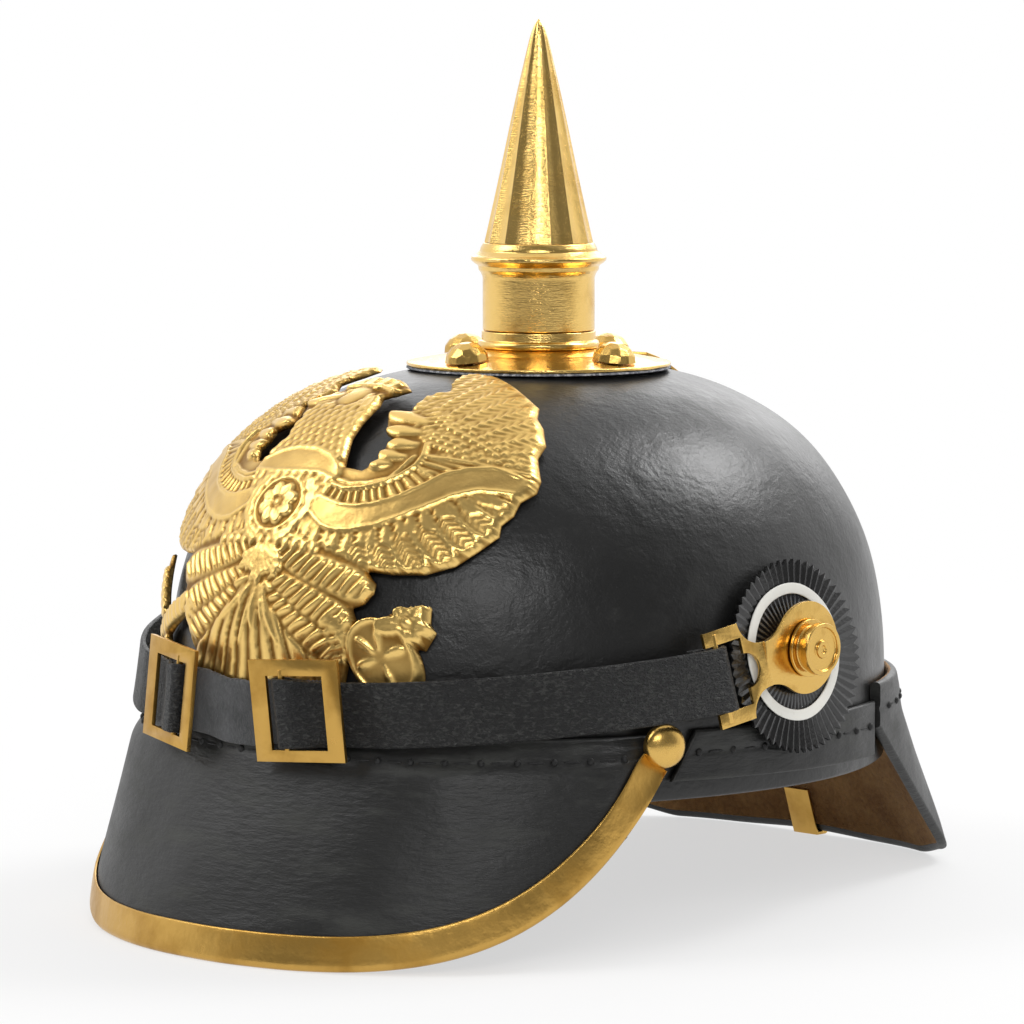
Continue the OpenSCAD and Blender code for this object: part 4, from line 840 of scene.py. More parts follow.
def makeGuard():
    near = np.linspace(guard["cornerShare"] - 0.05, guard["cornerShare"] + 0.05, 21)
    s = np.sort(np.concatenate([np.linspace(-1, 1, guard["steps"] + 1), near, -near]))
    width = guardLength(s) + guard["top"] - guard["fold"]
    outer, inner, d = sheetGrids(guardSoft, s, width, guard["thick"], guard["edgeRound"], 56)
    seamAt = guardSeamAt(s)[:, None]
    out = unit(outer - inner)
    swell = uneven(outer, "guard") * ease((seamAt - d) / 8) * ease(d / 10)
    swell = grooveAt(d, seamAt, groove["deep"]) + swell
    nap = uneven(inner, "guardNap") * ease(d / 6)
    loop, faces = closedSheet(outer + out * swell[..., None], inner - out * nap[..., None])
    n, m = outer.shape[:2]
    slots = np.zeros(len(faces), int)
    suede = (d[:-1, ::-1] > guard["rim"]) & (np.minimum(s[:-1] + 1, 1 - s[:-1])[:, None] > 0.03)
    slots[:(n - 1) * 2 * m].reshape(n - 1, 2 * m)[:, m:-1] = suede[:, :-1]
    piece = makePiece("neckGuardSheet", placed(loop), faces, [visorLeather, brownSuede], slots)
    settle(piece, "shell", "black_leather", "neck_guard")


flap = {"frontDeg": 71.5, "lean": 4.0, "low": 45.3, "drop": 1.8, "top": 59.0, "thick": 2.2, "steps": 70,
        "lengthMm": 75.0, "seamUp": 0.8}


def flapPoint(t, d, off):
    low = flap["low"] - flap["drop"] * t
    v = d / (flap["top"] - low)
    b = mix(flap["frontDeg"], guard["endDeg"] - 1, t) - flap["lean"] * (1 - t) * (1 - v)
    return wallPoint(b, low + d, shell["gap"] + flap["thick"] + off)


def flapWidth(t):
    return flap["top"] - flap["low"] + flap["drop"] * t


def flapSeamAt(t):
    return flapWidth(t) / 2 + flap["seamUp"]


def makeFlaps():
    t = np.concatenate([[0, 0.003, 0.007], np.linspace(0.013, 0.987, flap["steps"]), [0.993, 0.997, 1]])
    width = flapWidth(t)
    ends = np.minimum(t, 1 - t) * flap["lengthMm"]
    outer, inner, d = sheetGrids(flapPoint, t, width, flap["thick"], 0.8, 22, ends)
    swell = grooveAt(d, flapSeamAt(t)[:, None], groove["flapDeep"]) + uneven(outer, "flap")
    swell *= ease(np.minimum(d, width[:, None] - d) / 2) * ease(ends / 2)[:, None]
    outer = outer + unit(outer - inner) * swell[..., None]
    for sign, name in ((1, "left"), (-1, "right")):
        flip = (sign, 1, 1)
        piece = sheetPiece("sideFlap" + name.capitalize(), outer * flip, inner * flip, visorLeather)
        settle(piece, "shell", "black_leather", "side_flap_" + name)


makeGuard()
makeFlaps()
settle(fromNode("rearSpineStrip", "rear_spine", trimBrass, 0.0003), "shell", "brass", "rear_spine")
print("neck guard made")

# Seams: stitches and their holes, set out along the leather
seam = {"stitchMm": 5.2, "threadMm": 0.75, "holeMm": 2.1, "visorCount": 24, "guardCount": 22, "flapCount": 7,
        "sink": 0.45, "flapSink": 0.4}


def makeStitchTree():
    tree, start, end, ids = newTree("seamStitches", {"Thread": ("NodeSocketMaterial", waxedThread)})
    bead = addNode(tree, "GeometryNodeMeshUVSphere", {"Segments": 8, "Rings": 6, "Radius": 0.5})
    turn = addNode(tree, "GeometryNodeInputNamedAttribute", {"Name": "turn"}, data_type="FLOAT_VECTOR")
    size = addNode(tree, "GeometryNodeInputNamedAttribute", {"Name": "size"}, data_type="FLOAT_VECTOR")
    spin = addNode(tree, "FunctionNodeEulerToRotation", {"Euler": turn.outputs["Attribute"]})
    put = addNode(tree, "GeometryNodeInstanceOnPoints", {
        "Points": start.outputs["Geometry"], "Instance": bead.outputs["Mesh"], "Rotation": spin.outputs[0],
        "Scale": size.outputs["Attribute"]})
    endTree(tree, put, start.outputs["Thread"], end)
    return tree, ids


def seamPiece(name, line, node):  # a line of points, a hole and a stitch in turn
    line = placed(line)
    turns = []
    for way in unit(np.gradient(line, axis=0)):
        up = unit(np.array([0, 0, 1.0]) - way * way[2])
        turns.append(eulerOf(way, np.cross(up, way), up))
    hole, stitch, thread = seam["holeMm"], seam["stitchMm"], seam["threadMm"]
    kinds = np.array([(hole, hole, hole * 1.1), (stitch, thread, thread * 1.2)]) / 1000
    tree, ids = makeStitchTree()
    piece = grown(bareObject(name, line, turns, kinds[np.arange(len(line)) % 2]), tree, ids)
    settle(piece, "shell", "thread", node)


def makeSeams():
    reach = visor["endDeg"] - 6
    a = 90 * (1 - np.linspace(-reach, reach, 2 * seam["visorCount"] + 1) / visor["topDeg"])
    seamPiece("visorSeam", visorSoft(a, visorSeamAt(a), -seam["sink"]), "visor_thread")
    s = np.linspace(-0.93, 0.93, 2 * seam["guardCount"] + 1)
    seamPiece("guardSeam", guardSoft(s, guardSeamAt(s), -seam["sink"]), "guard_thread")
    t = np.linspace(0.05, 0.95, 2 * seam["flapCount"] + 1)
    line = flapPoint(t, flapSeamAt(t), -seam["flapSink"])
    seamPiece("flapSeam", np.concatenate([line, line * (-1, 1, 1)]), "flap_thread")


makeSeams()
print("seams made")

# Spike: disc with its stub, neck with its flange, fluted cone
spike = {"discR": 38.0, "discLow": 152.103, "discIn": 153.286, "sheet": 1.0, "gasketInR": 30.0, "bandR": 16.4,
         "stepZ": 157.0, "jointZ": 162.0, "beadR": 1.2, "bandRise": 2.6, "stubR": 12.9, "stubIn": 11.7,
         "stubRise": 10.0, "neckR": 16.1, "neckInR": 14.9, "neckLow": 162.25, "flangeZ": 182.25,
         "flangeR": 19.5, "coneLow": 187.25, "coneR": 15.6, "coneH": 63.7, "steps": 160}
coneLook = {"flutes": 14, "turn": -7.5, "depth": 0.052, "around": 280, "rows": 150}
coneCurve = [(0, 1), (0.24, 0.78), (0.4, 0.64), (0.54, 0.52), (0.68, 0.395), (0.78, 0.3), (0.86, 0.225),
             (0.93, 0.15), (0.97, 0.09), (1, 0.012)]


def makeBase():
    r, low, inside, t = spike["discR"], spike["discLow"], spike["discIn"], spike["sheet"]
    step, joint, stubTop = spike["stepZ"], spike["jointZ"], spike["jointZ"] + spike["stubRise"]
    band, bead, rise, gasketR = spike["bandR"], spike["beadR"], spike["bandRise"], spike["gasketInR"]
    profile = [(r, low), (r, low + t), (34, mix(low, inside, 0.5) + t + 0.1), (gasketR, inside + t + 0.2),
               (22, inside + t + 1.2), (band + 1, step), (band + 0.05, step)]
    profile += [(band + bead * math.cos(q), joint - rise - bead + bead * math.sin(q))
                for q in np.linspace(-1.25, 1.25, 9)]
    profile += [(band, joint - rise + 0.1), (band, joint), (spike["stubR"], joint), (spike["stubR"], stubTop),
                (spike["stubIn"], stubTop), (spike["stubIn"], joint - 2), (band - t, joint - 2),
                (band - t, step - t), (22, inside + 0.2), (gasketR, inside - 0.1)]
    points = lathed(softProfile(profile, 0.4), spike["steps"])
    soft = ease((np.hypot(points[..., 0], points[..., 1]) - 18) / 6)
    points[..., 2] += uneven(points, "disc") * soft
    settle(ringPiece("spikeBaseDisc", points, polishedBrass), "shell", "brass", "spike_base")


def makeGasket():
    inR, outR, t = spike["gasketInR"], spike["discR"] - 0.1, 0.7
    inZ, outZ = crownZ(inR), crownZ(outR)
    a = np.linspace(0, 2 * np.pi, 720, endpoint=False)
    ragged = 0.16 * np.sin(a * 97 + 2 * np.sin(a * 31)) + 0.12 * np.sin(a * 211 + 1)
    profile = np.array([(inR, inZ + 0.2), (outR - 0.3, outZ + 0.2), (outR, outZ + 0.35), (outR, outZ + t),
                        (outR - 0.3, outZ + 0.15 + t), (inR, inZ + 0.2 + t)])
    r = profile[None, :, 0] + ragged[:, None] * (profile[None, :, 0] > inR)
    points = stack(r * np.cos(a)[:, None], r * np.sin(a)[:, None], profile[None, :, 1])
    settle(ringPiece("baseGasketRing", points, greyFelt), "shell", "felt", "base_gasket")


def makeNeck():
    r, inR, low, z = spike["neckR"], spike["neckInR"], spike["neckLow"], spike["flangeZ"]
    fr, cr, top = spike["flangeR"], spike["coneR"], spike["coneLow"]
    profile = [(inR, low), (r, low), (r, z - 5.2), (r + 0.15, z - 4.4), (r + 0.5, z - 3.6),
               (r + 1.2, z - 2.7), (r + 1.35, z - 1.5), (fr - 0.8, z - 0.7), (fr, z + 0.1),
               (fr - 0.1, z + 1.0), (fr - 1.2, z + 1.6), (cr + 1.3, z + 2.7), (cr + 1.2, z + 3.4),
               (cr + 0.3, top), (inR - 1, top), (inR - 1, z + 1.5), (inR, z)]
    piece = lathePiece("spikeNeckTube", profile, spike["steps"], polishedBrass, 0.35)
    settle(piece, "spike", "brass", "spike_neck")


def turnedZ(points, deg):
    c, s = cosSin(deg)
    x, y = points[..., 0], points[..., 1]
    return stack(x * c - y * s, x * s + y * c, points[..., 2])


def makeConeTree():
    tree, start, end, ids = newTree("flutedCone", {
        "Flutes": ("NodeSocketInt", coneLook["flutes"]), "Depth": ("NodeSocketFloat", coneLook["depth"]),
        "Radius": ("NodeSocketFloat", spike["coneR"]), "Height": ("NodeSocketFloat", spike["coneH"]),
        "Brass": ("NodeSocketMaterial", polishedBrass)})
    tube = addNode(tree, "GeometryNodeMeshCylinder", {
        "Vertices": coneLook["around"], "Side Segments": coneLook["rows"], "Radius": 1.0, "Depth": 1.0})
    at = pointsOf(tree)
    share = plus(tree, at["Z"], 0.5)
    swell = addNode(tree, "ShaderNodeFloatCurve", {"Value": share})
    curve = swell.mapping.curves[0]
    curve.points[0].location = coneCurve[0]
    curve.points[1].location = coneCurve[-1]
    for place in coneCurve[1:-1]:
        curve.points.new(*place)
    for handle in curve.points:
        handle.handle_type = "VECTOR" if handle.location[0] > 0.96 else "AUTO"
    swell.mapping.update()
    turns = turnsOf(tree, at, start.outputs["Flutes"])
    dip = calc(tree, "SINE", times(tree, calc(tree, "FRACT", turns), math.pi))
    fluted = calc(tree, "SUBTRACT", 1.0, times(tree, dip, start.outputs["Depth"]))
    r = times(tree, times(tree, swell.outputs[0], fluted), start.outputs["Radius"])
    move = movedRound(tree, tube.outputs["Mesh"], at, r, times(tree, share, start.outputs["Height"]))
    endTree(tree, move, start.outputs["Brass"], end)
    return tree, ids


def reshape(piece, move, sharpDeg):  # moves a mesh built in its own millimetres to its place in the frame
    mesh = piece.data
    flat = np.zeros(len(mesh.vertices) * 3)
    mesh.vertices.foreach_get("co", flat)
    mesh.vertices.foreach_set("co", placed(move(flat.reshape(-1, 3))).ravel())
    mended(mesh)
    shaded(mesh, sharpDeg)
    mesh.update()
    return piece


def makeCone():
    tree, ids = makeConeTree()
    cone = grown(bareObject("spikeCone"), tree, ids)
    reshape(cone, lambda p: turnedZ(p, coneLook["turn"]) + (0, 0, spike["coneLow"] + 0.1), 12)
    settle(cone, "spike", "brass", "spike_point")


makeGasket()
makeBase()
makeNeck()
makeCone()
print("spike made")

# Hammered studs on the disc and at the trim's ends
stud = {"circleR": 29.5, "r": 6.3, "h": 5.2, "seatZ": 154.836, "lean": 8.0, "shankR": 1.6, "shankLow": 147.0,
        "trimR": 6.0, "trimH": 3.4, "trimFoot": 1.0, "trimZ": 55.9, "trimOff": 6.3, "facets": 12,
        "cut": 0.955}


def domedHead(r, h, foot, facets, seed):  # a head of facets, as left by a hammer, or a smooth one
    a = np.linspace(0, 2 * np.pi, 96, endpoint=False)[:, None]
    t = np.linspace(0, np.pi / 2, 26)[None, :]
    z, ring = np.sin(t) + 0 * a, np.cos(t) + 0 * a
    shape = stack(ring * np.cos(a), ring * np.sin(a), z)
    draw = np.random.RandomState(seed)
    ways = []
    for tilt, count in ((0.18, facets), (0.62, facets), (1.06, facets // 2)):
        spins = (np.arange(count) + draw.uniform(0, 1)) * 2 * np.pi / count + draw.uniform(-0.1, 0.1, count)
        tilts = tilt + draw.uniform(-0.05, 0.05, count)
        ways += [(math.cos(u) * math.cos(s), math.cos(u) * math.sin(s), math.sin(u))
                 for s, u in zip(spins, tilts)]
    ways.append((0, 0, 1))
    flat = (shape @ np.array(ways).T).max(-1)
    cut = stud["cut"] / np.maximum(flat, stud["cut"]) if facets else 1 + 0 * flat
    shape = shape * cut[..., None] * (r, r, h)
    wall = stack(r * np.cos(a), r * np.sin(a), np.array([[-foot, -foot * 0.5]]))
    low = stack((r - 1.2) * np.cos(a), (r - 1.2) * np.sin(a), np.array([[-foot]]))
    base = stack(0 * a, 0 * a, np.array([[-foot]]))
    return np.concatenate([base, low, wall[:, :1], shape], 1)


def leaned(points, deg):
    c, s = cosSin(deg)
    x, z = points[..., 0], points[..., 2]
    return stack(x * c + z * s, points[..., 1], z * c - x * s)


def joined(name, grids, finish, wrapCols=False, sharpDeg=14):  # several turned grids as one piece
    points, faces, used = [], [], 0
    for g in grids:
        faces.append(gridFaces(g.shape[0], g.shape[1], True, wrapCols) + used)
        points.append(g.reshape(-1, 3))
        used += g.shape[0] * g.shape[1]
    return makePiece(name, placed(np.concatenate(points)), np.concatenate(faces), [finish], sharpDeg=sharpDeg)


def makeDomeStuds():
    grids = []
    for k in range(4):
        head = leaned(domedHead(stud["r"], stud["h"], 0.0, stud["facets"], 40 + k), stud["lean"])
        head = head + (stud["circleR"], 0, stud["seatZ"])
        r, low, high = stud["shankR"], stud["shankLow"], stud["seatZ"] + 1.2
        shank = lathed(np.array([(0, low), (r, low), (r, high), (0, high)]), 32) + (stud["circleR"], 0, 0)
        grids += [turnedZ(head, 90 * k), turnedZ(shank, 90 * k)]
    settle(joined("domeStudHeads", grids, fittingBrass), "shell", "brass", "dome_studs")


def makeTrimStuds():
    deg = visor["endDeg"] - 0.4
    turn = float(faceTurn(deg, 0))
    seat = wallPoint(np.array(deg), np.array(stud["trimZ"]), 0.0)
    grids = []
    for sign in (1, -1):
        head = domedHead(stud["trimR"], stud["trimH"], stud["trimFoot"], 0, 60 + sign)
        upright = stack(head[..., 0], -(head[..., 2] + stud["trimOff"]), head[..., 1])
        grids.append((turnedZ(upright, turn) + seat) * (sign, 1, 1))
    settle(joined("trimStudHeads", grids, fittingBrass), "shell", "brass", "trim_studs")


makeDomeStuds()
makeTrimStuds()
settle(fromNode("spineScrewHeads", "spine_screws", fittingBrass, 0.0005), "shell", "brass", "spine_screws")
print("studs made")

# Side fittings
side = {"postY": -1.2, "postZ": 79.2, "cockadeX": 98.1, "cockadeY": -1.3, "cockadeZ": 76.4, "lean": 8.0,
        "cockadeR": 26.8, "pleats": 60, "pleatDip": 1.6, "thick": 1.15, "hoopR": 19.0, "hoopW": 3.0,
        "hoopUp": 1.3, "hoopLow": 1.25, "hoopT": 0.6, "wallX": 96.83, "lugX": 102.0, "lugT": 1.2}


def atCockade(p, sign):  # the cockade's own millimetres to the shell's
    c, s = cosSin(90 - side["lean"])
    x = side["cockadeX"] + p[..., 0] * c + p[..., 2] * s
    y = side["cockadeY"] + p[..., 1]
    z = side["cockadeZ"] - p[..., 0] * s + p[..., 2] * c
    return stack(sign * x, y, z)


def makePleatTree():
    tree, start, end, ids = newTree("pleatedDisc", {
        "Pleats": ("NodeSocketInt", side["pleats"]), "Radius": ("NodeSocketFloat", side["cockadeR"]),
        "Dip": ("NodeSocketFloat", side["pleatDip"]), "Thick": ("NodeSocketFloat", side["thick"]),
        "Fold": ("NodeSocketFloat", 0.5), "Cloth": ("NodeSocketMaterial", cockadeCloth)})
    disc = addNode(tree, "GeometryNodeMeshCylinder", {
        "Vertices": side["pleats"] * 8, "Side Segments": 1, "Fill Segments": 30, "Radius": 1.0, "Depth": 1.0})
    at = pointsOf(tree)
    x, y = at["X"], at["Y"]
    zigzag = calc(tree, "PINGPONG", times(tree, turnsOf(tree, at, start.outputs["Pleats"]), 2.0), 1.0)
    r = calc(tree, "SQRT", plus(tree, times(tree, x, x), times(tree, y, y)))
    top = calc(tree, "GREATER_THAN", at["Z"], 0.0)
    opening = addNode(tree, "ShaderNodeMapRange", {"Value": r, "From Min": 0.25, "From Max": 1.0},
                      interpolation_type="SMOOTHSTEP").outputs[0]
    down = times(tree, times(tree, zigzag, opening), start.outputs["Fold"])
    z = plus(tree, times(tree, top, start.outputs["Thick"]), times(tree, times(tree, down, -1.0), top))
    shrink = times(tree, times(tree, zigzag, start.outputs["Dip"]), opening)
    reach = calc(tree, "SUBTRACT", times(tree, r, start.outputs["Radius"]), shrink)
    move = movedRound(tree, disc.outputs["Mesh"], at, calc(tree, "MAXIMUM", reach, 0.0), z)
    endTree(tree, move, start.outputs["Cloth"], end)
    return tree, ids


def makeCockade(name, sign):
    tree, ids = makePleatTree()
    disc = grown(bareObject("cockadeDisc" + name.capitalize()), tree, ids)

    def move(p):
        bent = p + stack(0 * p[:, 0], 0 * p[:, 0], uneven(p, "cockade"))
        return atCockade(bent, sign)

    settle(reshape(disc, move, 24), "shell", "cockade_black", "cockade_" + name)
    inR, outR, low, t = side["hoopR"] - side["hoopW"], side["hoopR"], side["hoopLow"], side["hoopT"]
    section = softProfile([(inR, low), (outR, low), (outR, low + t), (inR, low + t)], 0.28)
    ring = lathed(section, 180, lambda a, z: 1 + 0.004 * np.sin(3 * a + 1) + 0.003 * np.sin(7 * a))
    ring = atCockade(ring + (-side["hoopUp"], -side["hoopUp"], 0), sign)
    hoop = ringPiece("hoopRing" + name.capitalize(), ring, whiteEnamel)
    settle(hoop, "shell", "white_enamel", "hoop_" + name)


def makePost(name, sign):
    x, lug = side["wallX"], side["lugX"]
    head = lug + side["lugT"] + 0.3
    profile = [(0, 88), (2.5, 88), (2.5, x), (7.4, x), (7.4, lug - 0.3), (6.4, lug - 0.3), (6.4, head),
               (8, head), (8, head + 1), (6.2, head + 1.1), (6.0, head + 2.1), (6.2, head + 3.1),
               (7.2, head + 3.3), (7.2, head + 5.6), (6.05, head + 5.6), (5.9, head + 4.8), (2.5, head + 4.8),
               (2.4, head + 5.6), (1.1, head + 5.6), (0.9, head + 5.0), (0, head + 5.0)]

    def move(p):
        return stack(sign * p[..., 2], side["postY"] + p[..., 0], side["postZ"] + p[..., 1])

    post = lathePiece("sidePost" + name.capitalize(), profile, 96, fittingBrass, 0.3, 30, move, False)
    settle(post, "shell", "brass", "side_post_" + name)


for sideName, sideSign in (("left", 1), ("right", -1)):
    makeCockade(sideName, sideSign)
    makePost(sideName, sideSign)
    lugPiece = fromNode("strapLug" + sideName.capitalize(), "lug_" + sideName, fittingBrass, 0.00022)
    settle(lugPiece, "chin_strap", "brass", "lug_" + sideName)
    bucklePiece = fromNode("strapBuckle" + sideName.capitalize(), "buckle_" + sideName, trimBrass, 0.0003)
    settle(bucklePiece, "buckle_" + sideName, "brass", "buckle_" + sideName)
print("side fittings made")

# Chin strap, on the same path as its solid
strap = {"width": 17.8, "thick": 1.6, "frontZ": 63.2, "runOff": 8.8, "rise": 1.2, "degPerMm": 1 / 1.75,
         "barR": 0.9, "tail": 6.0, "leftBar": 11.0, "rightBar": 12.8, "leftTip": -4.0, "rightTip": 4.0,
         "lugDrop": 10.5, "lugBend": 8.0, "lugBendP": 17.0, "lugLean": 8.0, "barP": 33.0, "past": 13.0,
         "plateGap": 2.6, "plateT": 1.2, "humpMm": 12.5, "runFrom": 19.5, "runSpan": 10.0, "lugFrom": 48.0,
         "tilt": 2.2, "leanFrom": 18.0, "leanSpan": 20.0, "barFrom": 14.0, "barSpan": 12.0, "swellDeg": 3.4,
         "swell": 0.08, "swellUp": 0.4}
strap["middleOff"] = strap["plateGap"] / 2 + strap["plateT"] + 1.7
strap["underOff"] = strap["middleOff"] + strap["thick"] + shell["gap"] + 0.7
strap["loopR"] = strap["barR"] + shell["gap"] + strap["thick"] / 2
strap["barOff"] = strap["underOff"] + strap["thick"] / 2 + strap["loopR"] - 0.1
bendC, bendS = cosSin(strap["lugBend"])
dropC, dropS = cosSin(strap["lugDrop"])
lugRun = strap["lugBendP"] + (strap["barP"] - strap["lugBendP"]) * bendC
lugBar = {"x": side["lugX"] + side["lugT"] / 2 - (strap["barP"] - strap["lugBendP"]) * bendS,
          "y": side["postY"] - lugRun * dropC, "z": side["postZ"] - lugRun * dropS}
lugBar["deg"] = math.degrees(math.atan2(lugBar["x"] * shell["front"], -lugBar["y"] * shell["halfWidth"]))
lugBar["off"] = lugBar["x"] / math.sin(math.radians(lugBar["deg"])) - shell["halfWidth"]


def planNormal(b):
    a = faceTurn(b, 5.0)
    return stack(sinD(a), -cosD(a), 0 * a)


def planTangent(b):
    a = faceTurn(b, 5.0)
    return stack(cosD(a), sinD(a), 0 * a)


def planPoint(b, off):
    return stack((shell["halfWidth"] + off) * sinD(b), -(shell["front"] + off) * cosD(b), 0 * b)


def strapHeight(b):
    front = -(shell["front"] + strap["runOff"])
    way = (front * cosD(b) - front) / (lugBar["y"] - front)
    return mix(strap["frontZ"], lugBar["z"], way) + strap["rise"] * (1 - way) * ease((np.abs(b) - 2) / 6)


def strapOff(b, bar):
    mm = (b - bar) / strap["degPerMm"]
    hump = mix(strap["barOff"] + strap["loopR"], strap["underOff"] + 0.3, ease(mm / strap["humpMm"]))
    run = mix(hump, strap["runOff"], ease((mm - strap["runFrom"]) / strap["runSpan"]))
    near = ease((b - strap["lugFrom"]) / (lugBar["deg"] - strap["lugFrom"]))
    return mix(run, lugBar["off"] + strap["loopR"], near)


def strapUp(b, tip):
    tilt = mix(strap["tilt"], strap["lugDrop"], np.abs(b) / lugBar["deg"])
    lean = mix(tip, strap["lugLean"], ease((b - strap["leanFrom"]) / strap["leanSpan"]))
    free = (stack(0 * tilt, 0 * tilt, cosD(tilt)) - sinD(tilt)[..., None] * planTangent(b)
            - sinD(lean)[..., None] * planNormal(b))
    d, n, e = strap["lugDrop"], strap["lugLean"], strap["lugBend"]
    bar = np.array([-sinD(n) * cosD(e), cosD(d) * sinD(n) * sinD(e) - sinD(d) * cosD(n),
                    sinD(d) * sinD(n) * sinD(e) + cosD(d) * cosD(n)])
    return unit(mix(free, bar, ease((b - lugBar["deg"] + strap["barFrom"]) / strap["barSpan"])[..., None]))


def loopRound(b, off, fromA, toA, tip):  # the strap's turn round a bar
    a = np.linspace(fromA, toA, 22)
    at = np.full_like(a, b)
    c, t, n, up = planPoint(at, off), planTangent(at), planNormal(at), strapUp(at, tip)
    d = strap["loopR"] * (t * cosD(a)[:, None] + n * sinD(a)[:, None])
    lift = -(d[:, 0] * up[:, 0] + d[:, 1] * up[:, 1]) / up[:, 2]
    return np.concatenate([(c + d)[:, :2], at[:, None], lift[:, None]], 1)


def strapPath(bar, tip):
    def stretch(b, off):
        p = planPoint(b, off)
        return np.stack([p[:, 0], p[:, 1], b, 0 * b], 1)

    tailB = bar + np.linspace(strap["tail"], 0.8, 8) * strap["degPerMm"]
    runB = np.linspace(bar, lugBar["deg"], 150)[3:-1]
    endB = lugBar["deg"] - np.linspace(1, 7, 8) * strap["degPerMm"]
    return np.concatenate([stretch(tailB, strap["barOff"] - strap["loopR"]),
                           loopRound(bar, strap["barOff"], 250, 110, tip), stretch(runB, strapOff(runB, bar)),
                           loopRound(lugBar["deg"], lugBar["off"], 85, -85, tip),
                           stretch(endB, lugBar["off"] - strap["loopR"])])


def strapPiece(name, path, up, height, finish, sign, kind, ragged=0.0, swell=None):
    width, thick = strap["width"], strap["thick"]
    flat = np.concatenate([path[:, :2], 0 * path[:, :1]], 1)
    ahead = unit(np.gradient(flat, axis=0))
    out = stack(ahead[:, 1], -ahead[:, 0], 0 * ahead[:, 0])
    base = stack(path[:, 0], path[:, 1], height + path[:, 3])
    length = np.concatenate([[0], np.cumsum(np.linalg.norm(np.diff(base, axis=0), axis=1))])
    index = np.arange(len(path))
    full = 0 * length if swell is None else np.exp(-((path[:, 2] - swell) / strap["swellDeg"]) ** 2)

    def surface(s, d, off):
        i = s.astype(int)
        rough = ragged * np.sin(length[i] * 2.9 + np.sin(length[i] * 0.7) * 4) * (d > width - 0.6)
        w = (d - width / 2) * (1 + strap["swell"] * full[i]) + strap["swellUp"] * full[i]
        bend = uneven(stack(length[i], d, 0 * d), kind)
        return base[i] + up[i] * (w + rough)[..., None] + out[i] * (off + thick / 2 + bend)[..., None]

    ends = np.minimum(length, length[-1] - length)
    outer, inner, _ = sheetGrids(surface, index, width, thick, 0.5, 22, ends)
    return sheetPiece(name, outer * (sign, 1, 1), inner * (sign, 1, 1), finish, sharpDeg=60)


def makeStraps():
    for name, sign, bar, tip in (("left", 1, strap["leftBar"], strap["leftTip"]),
                                 ("right", -1, strap["rightBar"], strap["rightTip"])):
        path = strapPath(bar, tip)
        up = strapUp(path[:, 2], tip)
        piece = strapPiece("strapLeather" + name.capitalize(), path, up, strapHeight(path[:, 2]),
                           strapLeather, sign, "strap", swell=bar)
        settle(piece, "chin_strap", "black_leather", "strap_" + name)
    b = np.linspace(-strap["rightBar"] - strap["past"] * strap["degPerMm"],
                    strap["leftBar"] + strap["past"] * strap["degPerMm"], 240)
    p = planPoint(b, strap["middleOff"] + strap["thick"] / 2)
    path = np.stack([p[:, 0], p[:, 1], b, 0 * b], 1)
    upright = stack(0 * b, 0 * b, 1 + 0 * b)
    piece = strapPiece("middleStrapLeather", path, upright, strapHeight(b), strapSuede, 1,
                       "middleStrap", 0.18)
    settle(piece, "chin_strap", "matte_leather", "middle_strap")


makeStraps()
print("chin strap made")

# Liner: sweatband with its tongues, and the cord that gathers them
liner = {"low": 42.4, "height": 38.0, "tongue": 34.0, "count": 8, "thick": 1.6, "gap": 3.4,
         "tongueLean": 22.0, "lean": 5.0, "cordR": 1.1, "share": 0.62}


def linerPoint(turn, v, off):  # v runs from 0 at the sewn edge to 1 at the band's top and 2 at a tongue's tip
    b = 360 * turn
    rise = liner["tongue"] * np.maximum(np.abs(sinD(180 * liner["count"] * turn)) ** 0.6, 0.02)
    z = liner["low"] + np.where(v <= 1, liner["height"] * v, liner["height"] + 0.5 + rise * (v - 1))
    above = np.maximum(z - liner["low"] - liner["height"], 0) / liner["tongue"]
    inBy = (shell["leather"] + mix(shell["gap"], liner["gap"], ease(v * 2)) - off
            + liner["tongueLean"] * above ** 1.3 + liner["lean"] * (z - liner["low"]) / liner["height"])
    return stack((shell["halfWidth"] - inBy) * sinD(b), -(halfLength(b) - inBy) * cosD(b), z)


def makeLiner():
    turn = np.linspace(0, 1, 400, endpoint=False)[:, None]
    v = np.concatenate([np.linspace(0, 1, 14), np.linspace(1, 2, 22)[1:]])[None, :]
    outer, inner = linerPoint(turn, v, 0.0), linerPoint(turn, v, -liner["thick"])
    share = roundOff(np.minimum(v * 38, (2 - v) * 30), 0.6, liner["thick"] / 2)[..., None]
    sag = uneven(outer, "sweatband")[..., None] * unit(outer - inner)
    outer, inner = drawnTogether(outer, inner, share)
    piece = sheetPiece("sweatbandLeather", outer + sag, inner + sag, bandLeather, True)
    settle(piece, "shell", "brown_leather", "sweatband")


def makeCord():
    b = np.linspace(0, 360, 360, endpoint=False)[:, None]
    q = np.linspace(0, 2 * np.pi, 12, endpoint=False)[None, :]
    inBy = (shell["leather"] + liner["gap"] + liner["thick"] + liner["lean"]
            + liner["share"] * liner["tongueLean"] + liner["cordR"] + 1.6)
    z = liner["low"] + liner["height"] + liner["share"] * liner["tongue"]
    r = liner["cordR"] * (1 + 0.1 * np.sin(3 * q + np.radians(b) * 90))
    cord = stack((shell["halfWidth"] - inBy + r * np.cos(q)) * sinD(b),
                 -(halfLength(b) - inBy + r * np.cos(q)) * cosD(b), z + r * np.sin(q))
    settle(ringPiece("drawCordLine", cord, linenCord), "shell", "cord", "draw_cord")


makeLiner()
makeCord()
for nodeName in ("stud_nuts", "post_nuts", "plate_posts", "plate_nuts", "spike_collar"):
    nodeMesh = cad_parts[nodeName].data
    nodeMesh.materials.clear()
    nodeMesh.materials.append(fittingBrass)
print("liner made")

